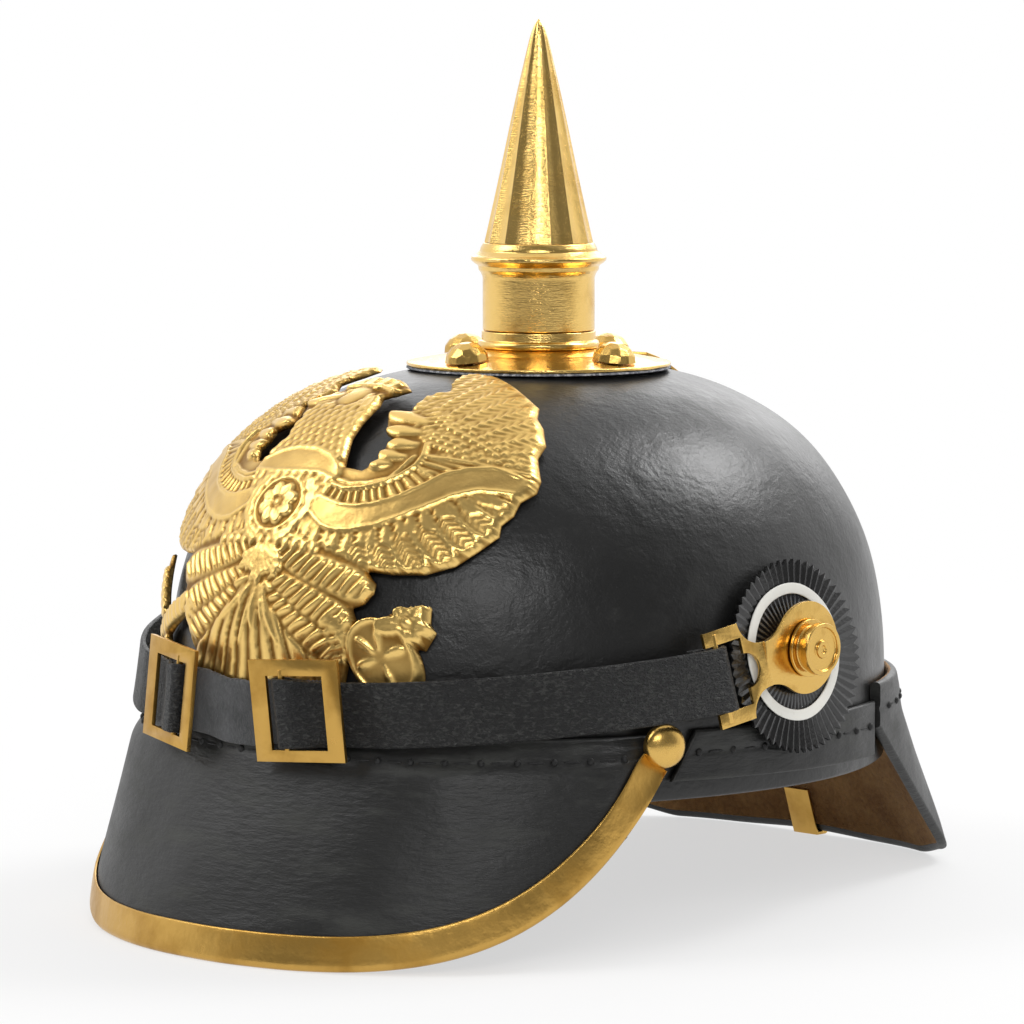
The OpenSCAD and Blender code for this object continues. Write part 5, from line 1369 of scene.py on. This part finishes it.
# Front plate: a crowned eagle, a height field over its own plane, u across and v up in millimetres
plate = {"cell": 0.45, "tilt": 55.0, "gap": 2.6, "closeZ": 72.0, "closeSpan": 20.0, "thick": 1.2, "low": 1.25,
         "high": 1.6, "lowTo": 76.0, "highSpan": 14.0, "soft": 0.7, "wide": 4.0, "shadeSpan": 0.9,
         "cutZ": 70.1, "left": -64.0, "right": 64.0, "bottom": -13.0, "top": 101.0, "edge": 0.9}
orb = {"at": (41.5, 5.5), "r": 9.4, "ring": 8.5, "bar": 7.0}
wingEdge = [(10, 26), (16, 53), (21, 53), (23.5, 57), (22.5, 60.5), (23.5, 65), (19.5, 66.5), (15.5, 72),
            (14.5, 75.5), (19.5, 76.5), (18, 84), (22, 88), (18, 93), (17, 97), (20, 99.5), (26.5, 99.3),
            (33, 97), (39.5, 94), (45.5, 91), (48.2, 87), (52, 84), (56.3, 78.5), (57.3, 73.5), (61.5, 67),
            (62.4, 63), (60.7, 58.5), (61, 54), (59.7, 50), (60.4, 46.8), (57.5, 40.5), (54, 34.5),
            (48, 29.5), (40.5, 26.7), (34, 25.5), (37, 23), (37, 20.5), (35, 17), (24, 10)]
bodyEdge = [(-24, 53), (24, 53), (24, 30), (34, 12), (31, -4), (24, -12), (-22, -12), (-24, -2), (-31, 8),
            (-34, 14)]
knobEdge = [(38, 12), (43, 10), (51, 11.5), (53.2, 16.6), (51.7, 18), (51.3, 22.2), (48.3, 20.5),
            (44.7, 19.1)]
innerRope = [(13, 47.5), (16, 46.5), (20, 46), (25, 47.5), (30, 50.5), (33, 54), (35, 58), (35, 62),
             (33.5, 66)]
ribbonTop = [(13, 42.5), (20, 41), (25, 41.5), (30, 43.5), (35, 47), (40, 53), (43, 58), (48, 62.5), (53, 65),
             (58.5, 65)]
ribbonLow = [(12, 37.5), (18, 34), (22, 33.5), (27, 34.5), (33, 37.5), (38, 41.5), (43, 46.5), (48, 52.5),
             (53, 57), (60, 59.5)]


def headEdge(more):
    return [(-17 - more, 50), (16 + more, 50), (12.3 + more, 58), (10 + more, 62.7), (8.5 + more, 68.5),
            (7 + more, 77.5), (5.2 + more, 80.6), (8 + more, 83), (10 + more, 86), (4, 89.6 + more),
            (-5.8, 91 + more), (-10.6 - more, 86.5), (-15 - more, 81.2), (-21 - more, 77),
            (-16.5 - more, 69.8), (-13.6 - more, 61.7), (-16 - more, 55.6)]


def along(line, count):  # a polyline's points at even steps
    p = np.array(line, float)
    run = np.concatenate([[0], np.cumsum(np.linalg.norm(np.diff(p, axis=0), axis=1))])
    at = np.linspace(0, run[-1], count)
    return np.stack([np.interp(at, run, p[:, k]) for k in (0, 1)], 1)


def toLine(u, v, line, count=60):  # distance from a line, positive on its left, and the run along it
    p = along(line, count)
    way = unit(np.gradient(p, axis=0))
    best = np.full(u.shape, 1e9)
    side, run = np.zeros(u.shape), np.zeros(u.shape)
    step = np.linalg.norm(p[1] - p[0])
    for k in range(count):
        du, dv = u - p[k, 0], v - p[k, 1]
        far = du * du + dv * dv
        near = far < best
        best = np.where(near, far, best)
        side = np.where(near, way[k, 0] * dv - way[k, 1] * du, side)
        run = np.where(near, k * step + way[k, 0] * du + way[k, 1] * dv, run)
    return side, run, np.sqrt(best)


def polyDistance(u, v, edge):  # signed distance from a polygon's edge, negative inside
    p = np.array(edge, float)
    far = np.full(u.shape, 1e9)
    inside = np.zeros(u.shape, bool)
    for a, b in zip(p, np.roll(p, -1, axis=0)):
        run = b - a
        t = np.clip(((u - a[0]) * run[0] + (v - a[1]) * run[1]) / (run @ run), 0, 1)
        far = np.minimum(far, np.hypot(u - a[0] - t * run[0], v - a[1] - t * run[1]))
        crosses = ((a[1] > v) != (b[1] > v)) & (u < run[0] * (v - a[1]) / (run[1] if run[1] else 1e-9) + a[0])
        inside ^= crosses
    return np.where(inside, -far, far)


def barEdge(u0, v0, deg, length, wide):
    c, s = cosSin(deg)
    x, y = length / 2, wide / 2
    return [(u0 + a * c - b * s, v0 + a * s + b * c) for a, b in ((-x, -y), (x, -y), (x, y), (-x, y))]


def ringLine(at, r):
    return [(at[0] + r * math.cos(q), at[1] + r * math.sin(q)) for q in np.linspace(0, 2 * np.pi, 33)]


bars = ((-52, 14, -66, 34), (-42, 10, 8, 26))  # the sceptre's two parts: middle, turn and length


def emblemDistance(u, v):
    otherWing = np.maximum(polyDistance(-u, v, wingEdge), -polyDistance(u, v, headEdge(2.5)))
    pieces = [polyDistance(u, v, edge) for edge in (wingEdge, headEdge(0), bodyEdge, knobEdge)]
    pieces += [polyDistance(u, v, barEdge(*bar, 5)) for bar in bars]
    return np.minimum.reduce(pieces + [otherWing, np.hypot(u - orb["at"][0], v - orb["at"][1]) - orb["r"]])


feather = {"base": 0.15, "rise": 0.35, "rib": 0.3, "ribWide": 0.35, "barb": 0.2, "pitch": 1.8, "slant": 0.8,
           "rim": 0.75, "blunt": 0.3, "skew": False}
bare = {"rib": 0.0, "barb": 0.0, "rim": 0.0}  # a smooth leaf
scale = {"base": 0.3, "rise": 0.8, "blunt": 0.55}


def paintLeaf(u, v, h, start, end, half, bend=0.0, **changes):  # one feather laid over what is there
    look = {**feather, **changes}
    a, b = np.array(start, float), np.array(end, float)
    across = np.array([a[1] - b[1], b[0] - a[0]])
    middle = (a + b) / 2 + across * bend
    t = np.linspace(0, 1, 18)[:, None]
    spine = (1 - t) ** 2 * a + 2 * t * (1 - t) * middle + t ** 2 * b
    lo, hi = spine.min(0) - half - 1, spine.max(0) + half + 1
    rows = np.where((v[:, 0] >= lo[1]) & (v[:, 0] <= hi[1]))[0]
    cols = np.where((u[0] >= lo[0]) & (u[0] <= hi[0]))[0]
    if not len(rows) or not len(cols):
        return
    box = np.s_[rows[0]:rows[-1] + 1, cols[0]:cols[-1] + 1]
    side, run, _ = toLine(u[box], v[box], spine, 24)
    length = np.linalg.norm(np.diff(spine, axis=0), axis=1).sum()
    share = run / length
    blunt = look["blunt"]
    tip = np.sqrt(np.clip(1 - ((share - 1 + blunt) / blunt) ** 2, 0, 1))
    w = half * np.clip(0.5 + share, 0, 1) * np.where(share > 1 - blunt, tip, 1)
    x = np.abs(side) / np.maximum(w, 1e-3)
    inside = (x < 1) & (share > -0.02) & (share < 1)
    aside = side if look["skew"] else np.abs(side)
    ticks = np.sin(2 * np.pi * (run - aside * look["slant"]) / look["pitch"] + 3.1 * a[0]
                   + 0.5 * np.sin(run + a[1]))
    dome = np.sqrt(np.clip(1 - x * x, 0, 1))
    leaf = (look["base"] + look["rise"] * dome * (0.5 + 0.5 * np.clip(share * 2, 0, 1))
            + look["rib"] * np.exp(-(side / look["ribWide"]) ** 2) * np.clip(1.1 - share, 0, 1)
            + look["barb"] * ticks * np.clip((0.8 - x) * 6, 0, 1)
            + look["rim"] * np.exp(-((x - 0.86) * np.maximum(w, 0.5) / 0.42) ** 2))
    h[box] = np.where(inside, leaf, h[box])


def paintScales(u, v, h, look):  # rows of small overlapping feathers
    for row in range(look["rows"]):
        low = look["low"] + look["step"] * row
        for x in np.arange(look["left"], look["right"], look["pitch"]) + look["pitch"] / 2 * (row % 2):
            paintLeaf(u, v, h, (x, low + look["tall"]), (x * look["splay"], low), look["half"], 0, **scale,
                      **bare)


def paintRope(u, v, h, line, half, rise):
    _, _, far = toLine(u, v, line)
    np.maximum(h, rise * np.sqrt(np.clip(1 - (far / half) ** 2, 0, 1)), out=h)


def paintBoss(u, v, h, at, r, rise):
    x = np.hypot(u - at[0], v - at[1]) / r
    h[:] = np.where(x < 1, 0.2 + rise * np.sqrt(np.clip(1 - x * x, 0, 1)), h)


def paintWing(u, v):
    h = np.full(u.shape, 0.2)
    tips = [(11, 22), (16, 23), (22, 24), (28, 24), (34.5, 24.6), (41.5, 26.3), (48.5, 29), (54.5, 34),
            (58.2, 40.2), (61, 46.4), (61.6, 53), (62.8, 60)]
    roots = along([(9, 40), (14, 38.5)] + ribbonLow[1:], len(tips) + 1)
    for k, tip in enumerate(tips):
        paintLeaf(u, v, h, roots[k] + (0, 1.5), tip, 3.7, -0.08, barb=0.24 + 0.06 * (k % 3), rib=0.1)
    for k, root in enumerate(along(ribbonLow, 19)[:-1]):
        tip = np.array(tips[min(int(k * 12 / 18), 11)]) - root
        paintLeaf(u, v, h, root, root + tip / np.linalg.norm(tip) * (5 + k % 3), 1.5, -0.05, rise=0.6,
                  barb=0.0, rim=0.3)
    crests = [(19.5, 99.5), (24.5, 99.8), (30, 98.6), (36, 96.2), (42, 93), (47, 89.3), (51, 85), (55.2, 80),
              (57.6, 74.6), (61.4, 68.6), (62.6, 63)]
    starts = [(22.5, 78), (24, 75), (27, 72.5), (30.5, 70.5), (34, 69), (37.5, 68), (41, 67.2), (44.5, 66.4),
              (48, 65.8), (51, 65), (53, 63.4)]
    for start, crest in list(zip(starts, crests))[::-1]:
        paintLeaf(u, v, h, start, crest, 3.4, 0.08, rib=0.75, rim=0.25, barb=0.3, pitch=2.1, slant=1.1)
    highRow = [(22, 84), (24, 79), (28, 75), (34, 72), (41, 70), (48, 68.8), (54, 67)]
    lowRow = [(22, 77), (26, 72), (31, 68.5), (37, 66.5), (44, 65), (51, 65.5)]
    for line, count, reach, half in ((highRow, 17, 5.0, 1.5), (lowRow, 16, 4.0, 1.4)):
        for k, root in enumerate(along(line, count)[::-1]):
            out = unit(root - np.array([36.0, 58.0]))
            paintLeaf(u, v, h, root - out * 2, root + out * (reach + k % 2), half, 0.04, barb=0.35, rise=0.6,
                      rim=0.0, pitch=1.9, rib=0.0)
    for start, end, half in (((28, 57), (22.6, 55), 2.2), ((30.5, 60), (22.2, 59), 2.3),
                             ((31, 65), (22.4, 63.4), 2.4), ((29, 69.5), (19.2, 68), 2.6),
                             ((28, 73.5), (14.9, 74.4), 2.7)):
        paintLeaf(u, v, h, start, end, half, 0.06, rise=1.15, blunt=0.4, **bare)
    side, run, _ = toLine(u, v, innerRope)
    top, _, _ = toLine(u, v, ribbonTop)
    low, _, _ = toLine(u, v, ribbonLow)
    fringe = (side < 0.4) & (top > -0.2) & (run > 0) & (run < 32)
    h[fringe] = (0.55 + 0.36 * np.sin(2 * np.pi * run / 2.05))[fringe]
    band = (top < 0.3) & (low > -0.3) & (u > 12) & (u < 61.5)
    h[band] = (0.85 + uneven(stack(u, v, 0 * u), "wingRibbon"))[band]
    paintRope(u, v, h, ribbonTop, 0.75, 1.35)
    paintRope(u, v, h, ribbonLow, 0.75, 1.35)
    paintRope(u, v, h, innerRope, 0.9, 1.4)
    secondRope = [(p[0] + 0.3, p[1] + 1.9) for p in innerRope[1:5]] + [(31.5, 55.5), (32.6, 61)]
    paintRope(u, v, h, secondRope, 0.6, 1.1)
    return h


breast = {"rows": 9, "low": 25.5, "step": 2.9, "left": -17.6, "right": 17.7, "pitch": 3.2, "tall": 4.2,
          "splay": 1.02, "half": 1.75}
throat = {"rows": 10, "low": 54.5, "step": 2.6, "left": -14.4, "right": 12, "pitch": 2.9, "tall": 4,
          "splay": 1.05, "half": 1.6}


def paintBody(u, v):
    h = np.full(u.shape, 0.2)
    for end in (-28, -21, -14, -8, -2, 4, 10.5, 17.5, 25, 33):
        paintLeaf(u, v, h, (2 + 0.2 * end, 19), (end, -17), 3.3, 0.004 * end, base=0.0, rise=1.35, blunt=0.1,
                  **bare)
    for k, q in enumerate(np.linspace(-150, -30, 9)):
        way, reach = np.array(cosSin(q)), 16 + 5 * math.sin(k * 2.4)
        paintLeaf(u, v, h, (2, 19) + way * 4, (2, 19) + way * reach, 1.25, 0.12 * (1 if k % 2 else -1),
                  base=0.5, rise=0.95, blunt=0.5, **bare)
    for sign, reach in ((1, 1.0), (-1, 0.95)):
        for start, end, half in (((7, 14), (30, 2), 4.0), ((6, 18.5), (33.5, 10.5), 4.3),
                                 ((5, 25), (37, 20.5), 4.6)):
            paintLeaf(u, v, h, (sign * start[0], start[1]), (sign * end[0] * reach, end[1]), half,
                      -0.07 * sign, base=0.3, rise=0.75, rib=0.0, barb=0.5, pitch=2.7, slant=0.5 * sign,
                      rim=0.0, blunt=0.22, skew=True)
        for k in range(5):
            at = (sign * (28 + 1.2 * k) * reach, 10 - 1.7 * k)
            paintLeaf(u, v, h, (at[0] - sign * 3, at[1] - 1.6), (at[0] + sign * 3.2, at[1] + 1.4), 0.95, 0,
                      barb=0, rib=0, rise=0.9)
    for k, q in enumerate(np.linspace(-160, -20, 11)):
        reach = 8.5 + 1.5 * math.sin(k * 1.7)
        end = (1.5, 25) + reach * np.array(cosSin(q))
        paintLeaf(u, v, h, (1.5, 26), end, 1.5, 0.05, rise=0.95, barb=0.0, blunt=0.5)
    paintScales(u, v, h, breast)
    rose = np.array([0, 38.5])
    paintBoss(u, v, h, rose, 8.2, 0.7)
    for k in range(8):
        way = np.array(cosSin(45 * k + 22.5))
        paintLeaf(u, v, h, rose + way * 1.2, rose + way * 6.6, 1.9, 0, base=0.6, rise=0.8, rib=0.15, barb=0,
                  blunt=0.45)
    paintRope(u, v, h, ringLine(rose, 8.2), 0.7, 1.3)
    paintBoss(u, v, h, rose, 1.9, 1.3)
    for sign in (-1, 1):
        for k in range(5):
            c, s = cosSin(-90 + sign * (28 + 24 * k))
            at, turn = rose + np.array([c, s]) * 11.2, np.array([-s, c]) * sign
            paintLeaf(u, v, h, at - turn * 2.2, at + turn * 3, 1.5, 0.1 * sign, rise=0.9, barb=0, rib=0.3)
    neckTop = [(-15.5, 53), (-10, 56), (-4, 57.6), (3, 57.6), (9, 55.8), (14, 52.5)]
    neckLow = [(-17, 49.3), (-8, 48.6), (0, 49), (9, 49.6), (16, 48)]
    paintScales(u, v, h, throat)
    upper, _, _ = toLine(u, v, neckTop)
    lower, _, _ = toLine(u, v, neckLow)
    band = (upper < 0.3) & (lower > -0.3) & (np.abs(u) < 17)
    h[band] = (0.9 + uneven(stack(u, v, 0 * u), "neckRibbon"))[band]
    paintRope(u, v, h, neckTop, 0.75, 1.4)
    paintRope(u, v, h, neckLow, 0.75, 1.4)
    paintHead(u, v, h)
    return h


def paintHead(u, v, h):
    for k, x in enumerate((-12.5, -9.5, -6.5, -3.5, -0.5, 2.5, 5.5)):
        paintLeaf(u, v, h, (x * 0.7, 80.5), (x, 74.5 + 0.3 * (k % 3)), 1.5, 0, rise=0.8, barb=0)
    paintBoss(u, v, h, (-4.2, 80.2), 5.4, 1.2)
    paintLeaf(u, v, h, (-7.5, 80.6), (-20.6, 76.6), 2.6, 0.13, base=0.4, rise=1.0, blunt=0.6, **bare)
    paintLeaf(u, v, h, (-8.5, 78), (-15.5, 75.6), 1.3, 0.1, base=0.3, rise=0.8, blunt=0.6, **bare)
    paintBoss(u, v, h, (-7.4, 81.6), 1.25, 1.4)
    for x, lean in ((-7.5, -3.2), (-4, -1.6), (0, 0.2), (4, 2.4)):
        paintLeaf(u, v, h, (x, 84.2), (x + lean * 0.6, 90.6 - 0.2 * abs(x)), 1.9, 0, base=0.5, rise=0.8,
                  rib=0.2, barb=0)
    paintRope(u, v, h, [(-11, 84.4), (-5, 85.6), (2, 85.4), (8, 83.8)], 1.15, 1.45)


def paintClaws(u, v, h):
    middle = np.array(orb["at"])
    h[np.hypot(u - middle[0], v - middle[1]) < orb["r"]] = 0.55
    paintRope(u, v, h, ringLine(middle, orb["ring"]), 0.9, 1.3)
    for q in (35, 100, 160, 215, 300):
        way = np.array(cosSin(q))
        paintLeaf(u, v, h, middle + way * 1.5, middle + way * orb["bar"], 1.0, 0.0, base=0.55, rise=0.75,
                  **bare)
    star = (47.6, 15.4)
    for end in ((51.2, 22), (53, 16.8), (49.6, 11.6), (44.6, 19), (40, 12)):
        paintLeaf(u, v, h, star, end, 2.1, 0, base=0.4, rise=0.9, rib=0.3, barb=0, blunt=0.4)
    paintBoss(u, v, h, star, 1.8, 1.3)
    for bar in bars:
        _, run, far = toLine(u, v, barEdge(*bar, 0.1)[:2])
        inside = far < 2.9
        h[inside] = (0.4 + np.sqrt(np.clip(1 - (far / 2.9) ** 2, 0, 1)) + 0.2 * np.sin(run * 2.1))[inside]


def paintEagle(u, v):
    h = np.maximum(paintWing(u, v) * (u >= 0), paintWing(-u, v) * (u < 0))
    core = [(-17, 50), (-14, 44), (-12, 36), (-9, 30), (-34, 26), (-37, 20), (-34, 14), (-31, 8), (-24, -2),
            (-22, -13), (24, -13), (31, -4), (34, 12), (38, 20), (36, 25.5), (9, 30), (12, 36), (14, 44),
            (16, 50)]
    body = np.minimum(polyDistance(u, v, headEdge(0)), polyDistance(u, v, core))
    h = np.where(body < 0, paintBody(u, v), h)
    onOrb = np.hypot(u - orb["at"][0], v - orb["at"][1]) < orb["r"] + 0.2
    claws = onOrb | (polyDistance(u, v, knobEdge) < 0.3) | ((u < -31) & (v <= 26))
    extra = h.copy()
    paintClaws(u, v, extra)
    return np.where(claws, extra, h)


def eagleSkin(u, v, more):  # places of (u, v) on the dome, above the leather by the plate's gap and more
    plane = math.radians(plate["tilt"])

    def at(w):
        return u, v * math.cos(plane) - w * math.sin(plane), v * math.sin(plane) + w * math.cos(plane)

    near, far = 30.0 + 0 * u, 200.0 + 0 * u
    for _ in range(32):
        w = (near + far) / 2
        x, y, z = at(w)
        off = plate["gap"] * mix(0.5, 1, ease((z - plate["closeZ"]) / plate["closeSpan"])) + more
        length = np.where(y < 0, shell["front"], shell["rear"]) + off
        k = np.sqrt((x / (shell["halfWidth"] + off)) ** 2 + (y / length) ** 2)
        h = np.maximum(z - shell["wallTop"], 0) / (shell["domeH"] + off)
        outside = k ** shell["power"] + h ** shell["power"] > 1
        near, far = np.where(outside, near, w), np.where(outside, w, far)
    return stack(*at((near + far) / 2))


def makeEagle():
    u, v = np.meshgrid(np.arange(plate["left"], plate["right"], plate["cell"]),
                       np.arange(plate["bottom"], plate["top"], plate["cell"]))
    flat = eagleSkin(u, v, plate["thick"])
    away = np.maximum(emblemDistance(u, v), (plate["cutZ"] - flat[..., 2]) / 0.85)
    middle = (away[:-1, :-1] + away[1:, :-1] + away[:-1, 1:] + away[1:, 1:]) / 4
    kept = middle < 0
    for _ in range(3):
        a, b, c, d = kept[:-1, :-1], kept[1:, 1:], kept[1:, :-1], kept[:-1, 1:]
        kept[1:, :-1] |= a & b & ~c & ~d
        kept[:-1, :-1] |= c & d & ~a & ~b
    used = np.zeros((4,) + u.shape, bool)
    for k, (i, j) in enumerate(((0, 0), (1, 0), (0, 1), (1, 1))):
        used[k, i:i + kept.shape[0], j:j + kept.shape[1]] = kept
    rim = used.any(0) & ~used.all(0)
    slopeV, slopeU = np.gradient(away, plate["cell"])
    steep = np.maximum(slopeU ** 2 + slopeV ** 2, 0.25)
    pull = np.where(rim, np.clip(away, -plate["cell"], plate["cell"]), 0) / steep
    u2, v2 = u - pull * slopeU, v - pull * slopeV
    height = blurred(paintEagle(u, v), plate["soft"])
    # painted shade: the brass darkens where the relief lies below its blurred surroundings
    sink = np.clip(0.5 - (height - blurred(height, plate["wide"])) / plate["shadeSpan"], 0, 1)
    t = np.clip(-np.where(rim, 0, away) / plate["edge"], 0, 1)
    full = np.sqrt(np.clip(1 - (1 - t) ** 2, 0, 1))
    rise = ease((flat[..., 2] - plate["lowTo"]) / plate["highSpan"])
    tall = mix(plate["low"], plate["high"], rise) / height.max()
    lift = plate["thick"] * mix(0.45, 1, full) + height * tall * full
    outer, inner = eagleSkin(u2, v2, lift), eagleSkin(u2, v2, 0.0)
    count = u.size
    i, j = np.nonzero(kept)
    cols = u.shape[1]
    corners = np.stack([i * cols + j, i * cols + j + 1, (i + 1) * cols + j + 1, (i + 1) * cols + j], -1)
    edges = np.concatenate([corners[:, (k, (k + 1) % 4)] for k in range(4)])
    code = edges[:, 0].astype(np.int64) * count + edges[:, 1]
    back = edges[:, 1].astype(np.int64) * count + edges[:, 0]
    border = edges[~np.isin(code, back)]
    walls = np.stack([border[:, 1], border[:, 0], border[:, 0] + count, border[:, 1] + count], -1)
    faces = np.concatenate([corners, corners[:, ::-1] + count, walls])
    points = np.concatenate([outer.reshape(-1, 3), inner.reshape(-1, 3)])
    shown, faces = np.unique(faces, return_inverse=True)
    faces = faces.reshape(-1, 4)
    piece = makePiece("eagleStamping", placed(points[shown]), faces, [stampedBrass], sharpDeg=75, weld=False)
    # painted shade: the plate's back takes a fixed, nearly full share of painted shade
    values = np.concatenate([sink.ravel(), np.full(count, 0.9)])[shown]
    piece.data.attributes.new("sink", "FLOAT", "POINT").data.foreach_set("value", values)
    settle(piece, "shell", "stamped_brass", "eagle_plate")
    print("eagle made", len(faces))


makeEagle()

# Camera, worked out from the photograph's measured edges
view = {"azimuth": 43.865, "down": 5.601, "at": (1.008934, -1.049342, 0.269692), "lens": 179.29,
        "sensor": 36.0}


def makeCamera():
    data = bpy.data.cameras.new("photoCamera")
    data.lens, data.sensor_width, data.clip_start, data.clip_end = view["lens"], view["sensor"], 0.05, 50
    camera = addObject("photoCamera", data)
    sideways, forward = cosSin(view["azimuth"])[::-1]
    level, fall = cosSin(view["down"])
    ahead = np.array([-sideways * level, forward * level, -fall])
    right = unit(np.cross(ahead, (0, 0, 1)))
    lean = np.array(Matrix.Rotation(math.radians(-stance["leanDeg"]), 3, "X"))
    right, up, ahead = (lean @ v for v in (right, np.cross(right, ahead), ahead))
    turn = Matrix((right, up, -ahead)).transposed()
    camera.matrix_world = Matrix.Translation(view["at"]) @ turn.to_4x4()
    bpy.context.scene.camera = camera


def makeLight(name, place, target, size, watts):
    data = bpy.data.lights.new(name, "AREA")
    data.shape, data.size, data.size_y, data.energy = "RECTANGLE", *size, watts
    lamp = addObject(name, data)
    turn = (Vector(place) - Vector(target)).to_track_quat("Z", "Y")
    lamp.matrix_world = Matrix.Translation(place) @ turn.to_matrix().to_4x4()


# Places round the camera's own direction: right is the picture's right
studio = {
    "rightHigh": {"right": 1.0, "near": -0.42, "up": 1.25, "size": (0.6, 0.6), "watts": 11},
    "leftHigh": {"right": -1.2, "near": 0.1, "up": 1.2, "size": (0.8, 0.8), "watts": 8},
    "backHigh": {"right": 0.4, "near": -1.75, "up": 0.9, "size": (1.8, 0.95), "watts": 10},
    "frontHigh": {"right": 0.0, "near": 1.6, "up": 0.93, "size": (0.8, 0.42), "watts": 8},
}
nearWay = (math.sin(math.radians(view["azimuth"])), -math.cos(math.radians(view["azimuth"])), 0)
worldLook = {"diffuse": 0.6, "front": 0.2, "behind": 1.0, "camera": 1.0, "turnLow": -0.4, "turnHigh": 0.1}
floorLook = {"size": 30.0, "colour": (0.8, 0.8, 0.8), "shareNear": 0.62, "near": 0.22, "far": 0.75,
             "reflectedShade": 0.75, "dimNear": 0.25, "dimFar": 1.2}


def makeStudio():
    near = np.array(nearWay)
    right = np.array([-near[1], near[0], 0])
    for name, look in studio.items():
        place = right * look["right"] + near * look["near"] + np.array([0, 0, look["up"]])
        makeLight(name, tuple(place), (0, 0, 0.1), look["size"], look["watts"])
    world = bpy.data.worlds.new("studioWorld")
    bpy.context.scene.world = world
    world.use_nodes = True
    tree = world.node_tree
    path = addNode(tree, "ShaderNodeLightPath")
    at = addNode(tree, "ShaderNodeTexCoord").outputs["Generated"]
    turn = addNode(tree, "ShaderNodeVectorMath", {0: at, 1: tuple(-near)},
                   operation="DOT_PRODUCT").outputs["Value"]
    glossy = spread(tree, turn, worldLook["turnLow"], worldLook["turnHigh"], worldLook["front"],
                    worldLook["behind"])
    clear = calc(tree, "MAXIMUM", path.outputs["Is Glossy Ray"], path.outputs["Is Transmission Ray"])
    indirect = addNode(tree, "ShaderNodeMix", {0: clear, 2: worldLook["diffuse"], 3: glossy},
                       data_type="FLOAT")
    strength = addNode(tree, "ShaderNodeMix", {
        0: path.outputs["Is Camera Ray"], 2: indirect.outputs[0], 3: worldLook["camera"]}, data_type="FLOAT")
    setInputs(tree, tree.nodes["Background"], {"Strength": strength.outputs[0], "Color": (1, 1, 1)})


def makeFloor():
    look, half = floorLook, floorLook["size"] / 2
    mesh = bpy.data.meshes.new("paleFloor")
    mesh.from_pydata([(-half, -half, 0), (half, -half, 0), (half, half, 0), (-half, half, 0)], [],
                     [(0, 1, 2, 3)])
    finish, tree, shader, place = newFinish("paleFloor")
    setInputs(tree, shader, {"Base Color": look["colour"], "Roughness": 0.9, "Specular IOR Level": 0.1})
    path = addNode(tree, "ShaderNodeLightPath").outputs
    away = addNode(tree, "ShaderNodeVectorMath", {0: place}, operation="LENGTH").outputs["Value"]
    share = spread(tree, away, look["near"], look["far"], look["shareNear"], 1.0)
    clear = calc(tree, "MAXIMUM", path["Is Glossy Ray"], path["Is Transmission Ray"])
    seen = calc(tree, "MAXIMUM", path["Is Camera Ray"], clear)
    white = addNode(tree, "ShaderNodeEmission", {"Color": (1, 1, 1), "Strength": 1.0})
    blend = addNode(tree, "ShaderNodeMixShader", {
        0: times(tree, share, seen), 1: shader.outputs[0], 2: white.outputs[0]})
    # painted shade: seen in reflections, the floor on the camera's side fades to a dark glow, standing in for
    # the darker room there
    nearBy = addNode(tree, "ShaderNodeVectorMath", {0: place, 1: nearWay},
                     operation="DOT_PRODUCT").outputs["Value"]
    reflectedShade = times(tree, spread(tree, nearBy, look["dimNear"], look["dimFar"], 0.0, look["reflectedShade"]),
                path["Is Glossy Ray"])
    dark = addNode(tree, "ShaderNodeEmission", {"Color": (1, 1, 1), "Strength": 0.1})
    room = addNode(tree, "ShaderNodeMixShader", {0: reflectedShade, 1: blend.outputs[0], 2: dark.outputs[0]})
    tree.links.new(room.outputs[0], tree.nodes["Material Output"].inputs["Surface"])
    mesh.materials.append(finish)
    floor = addObject("paleFloor", mesh)
    return floor


makeCamera()
makeStudio()
makeFloor()
bpy.context.scene.view_settings.view_transform = "Standard"
print("studio made")
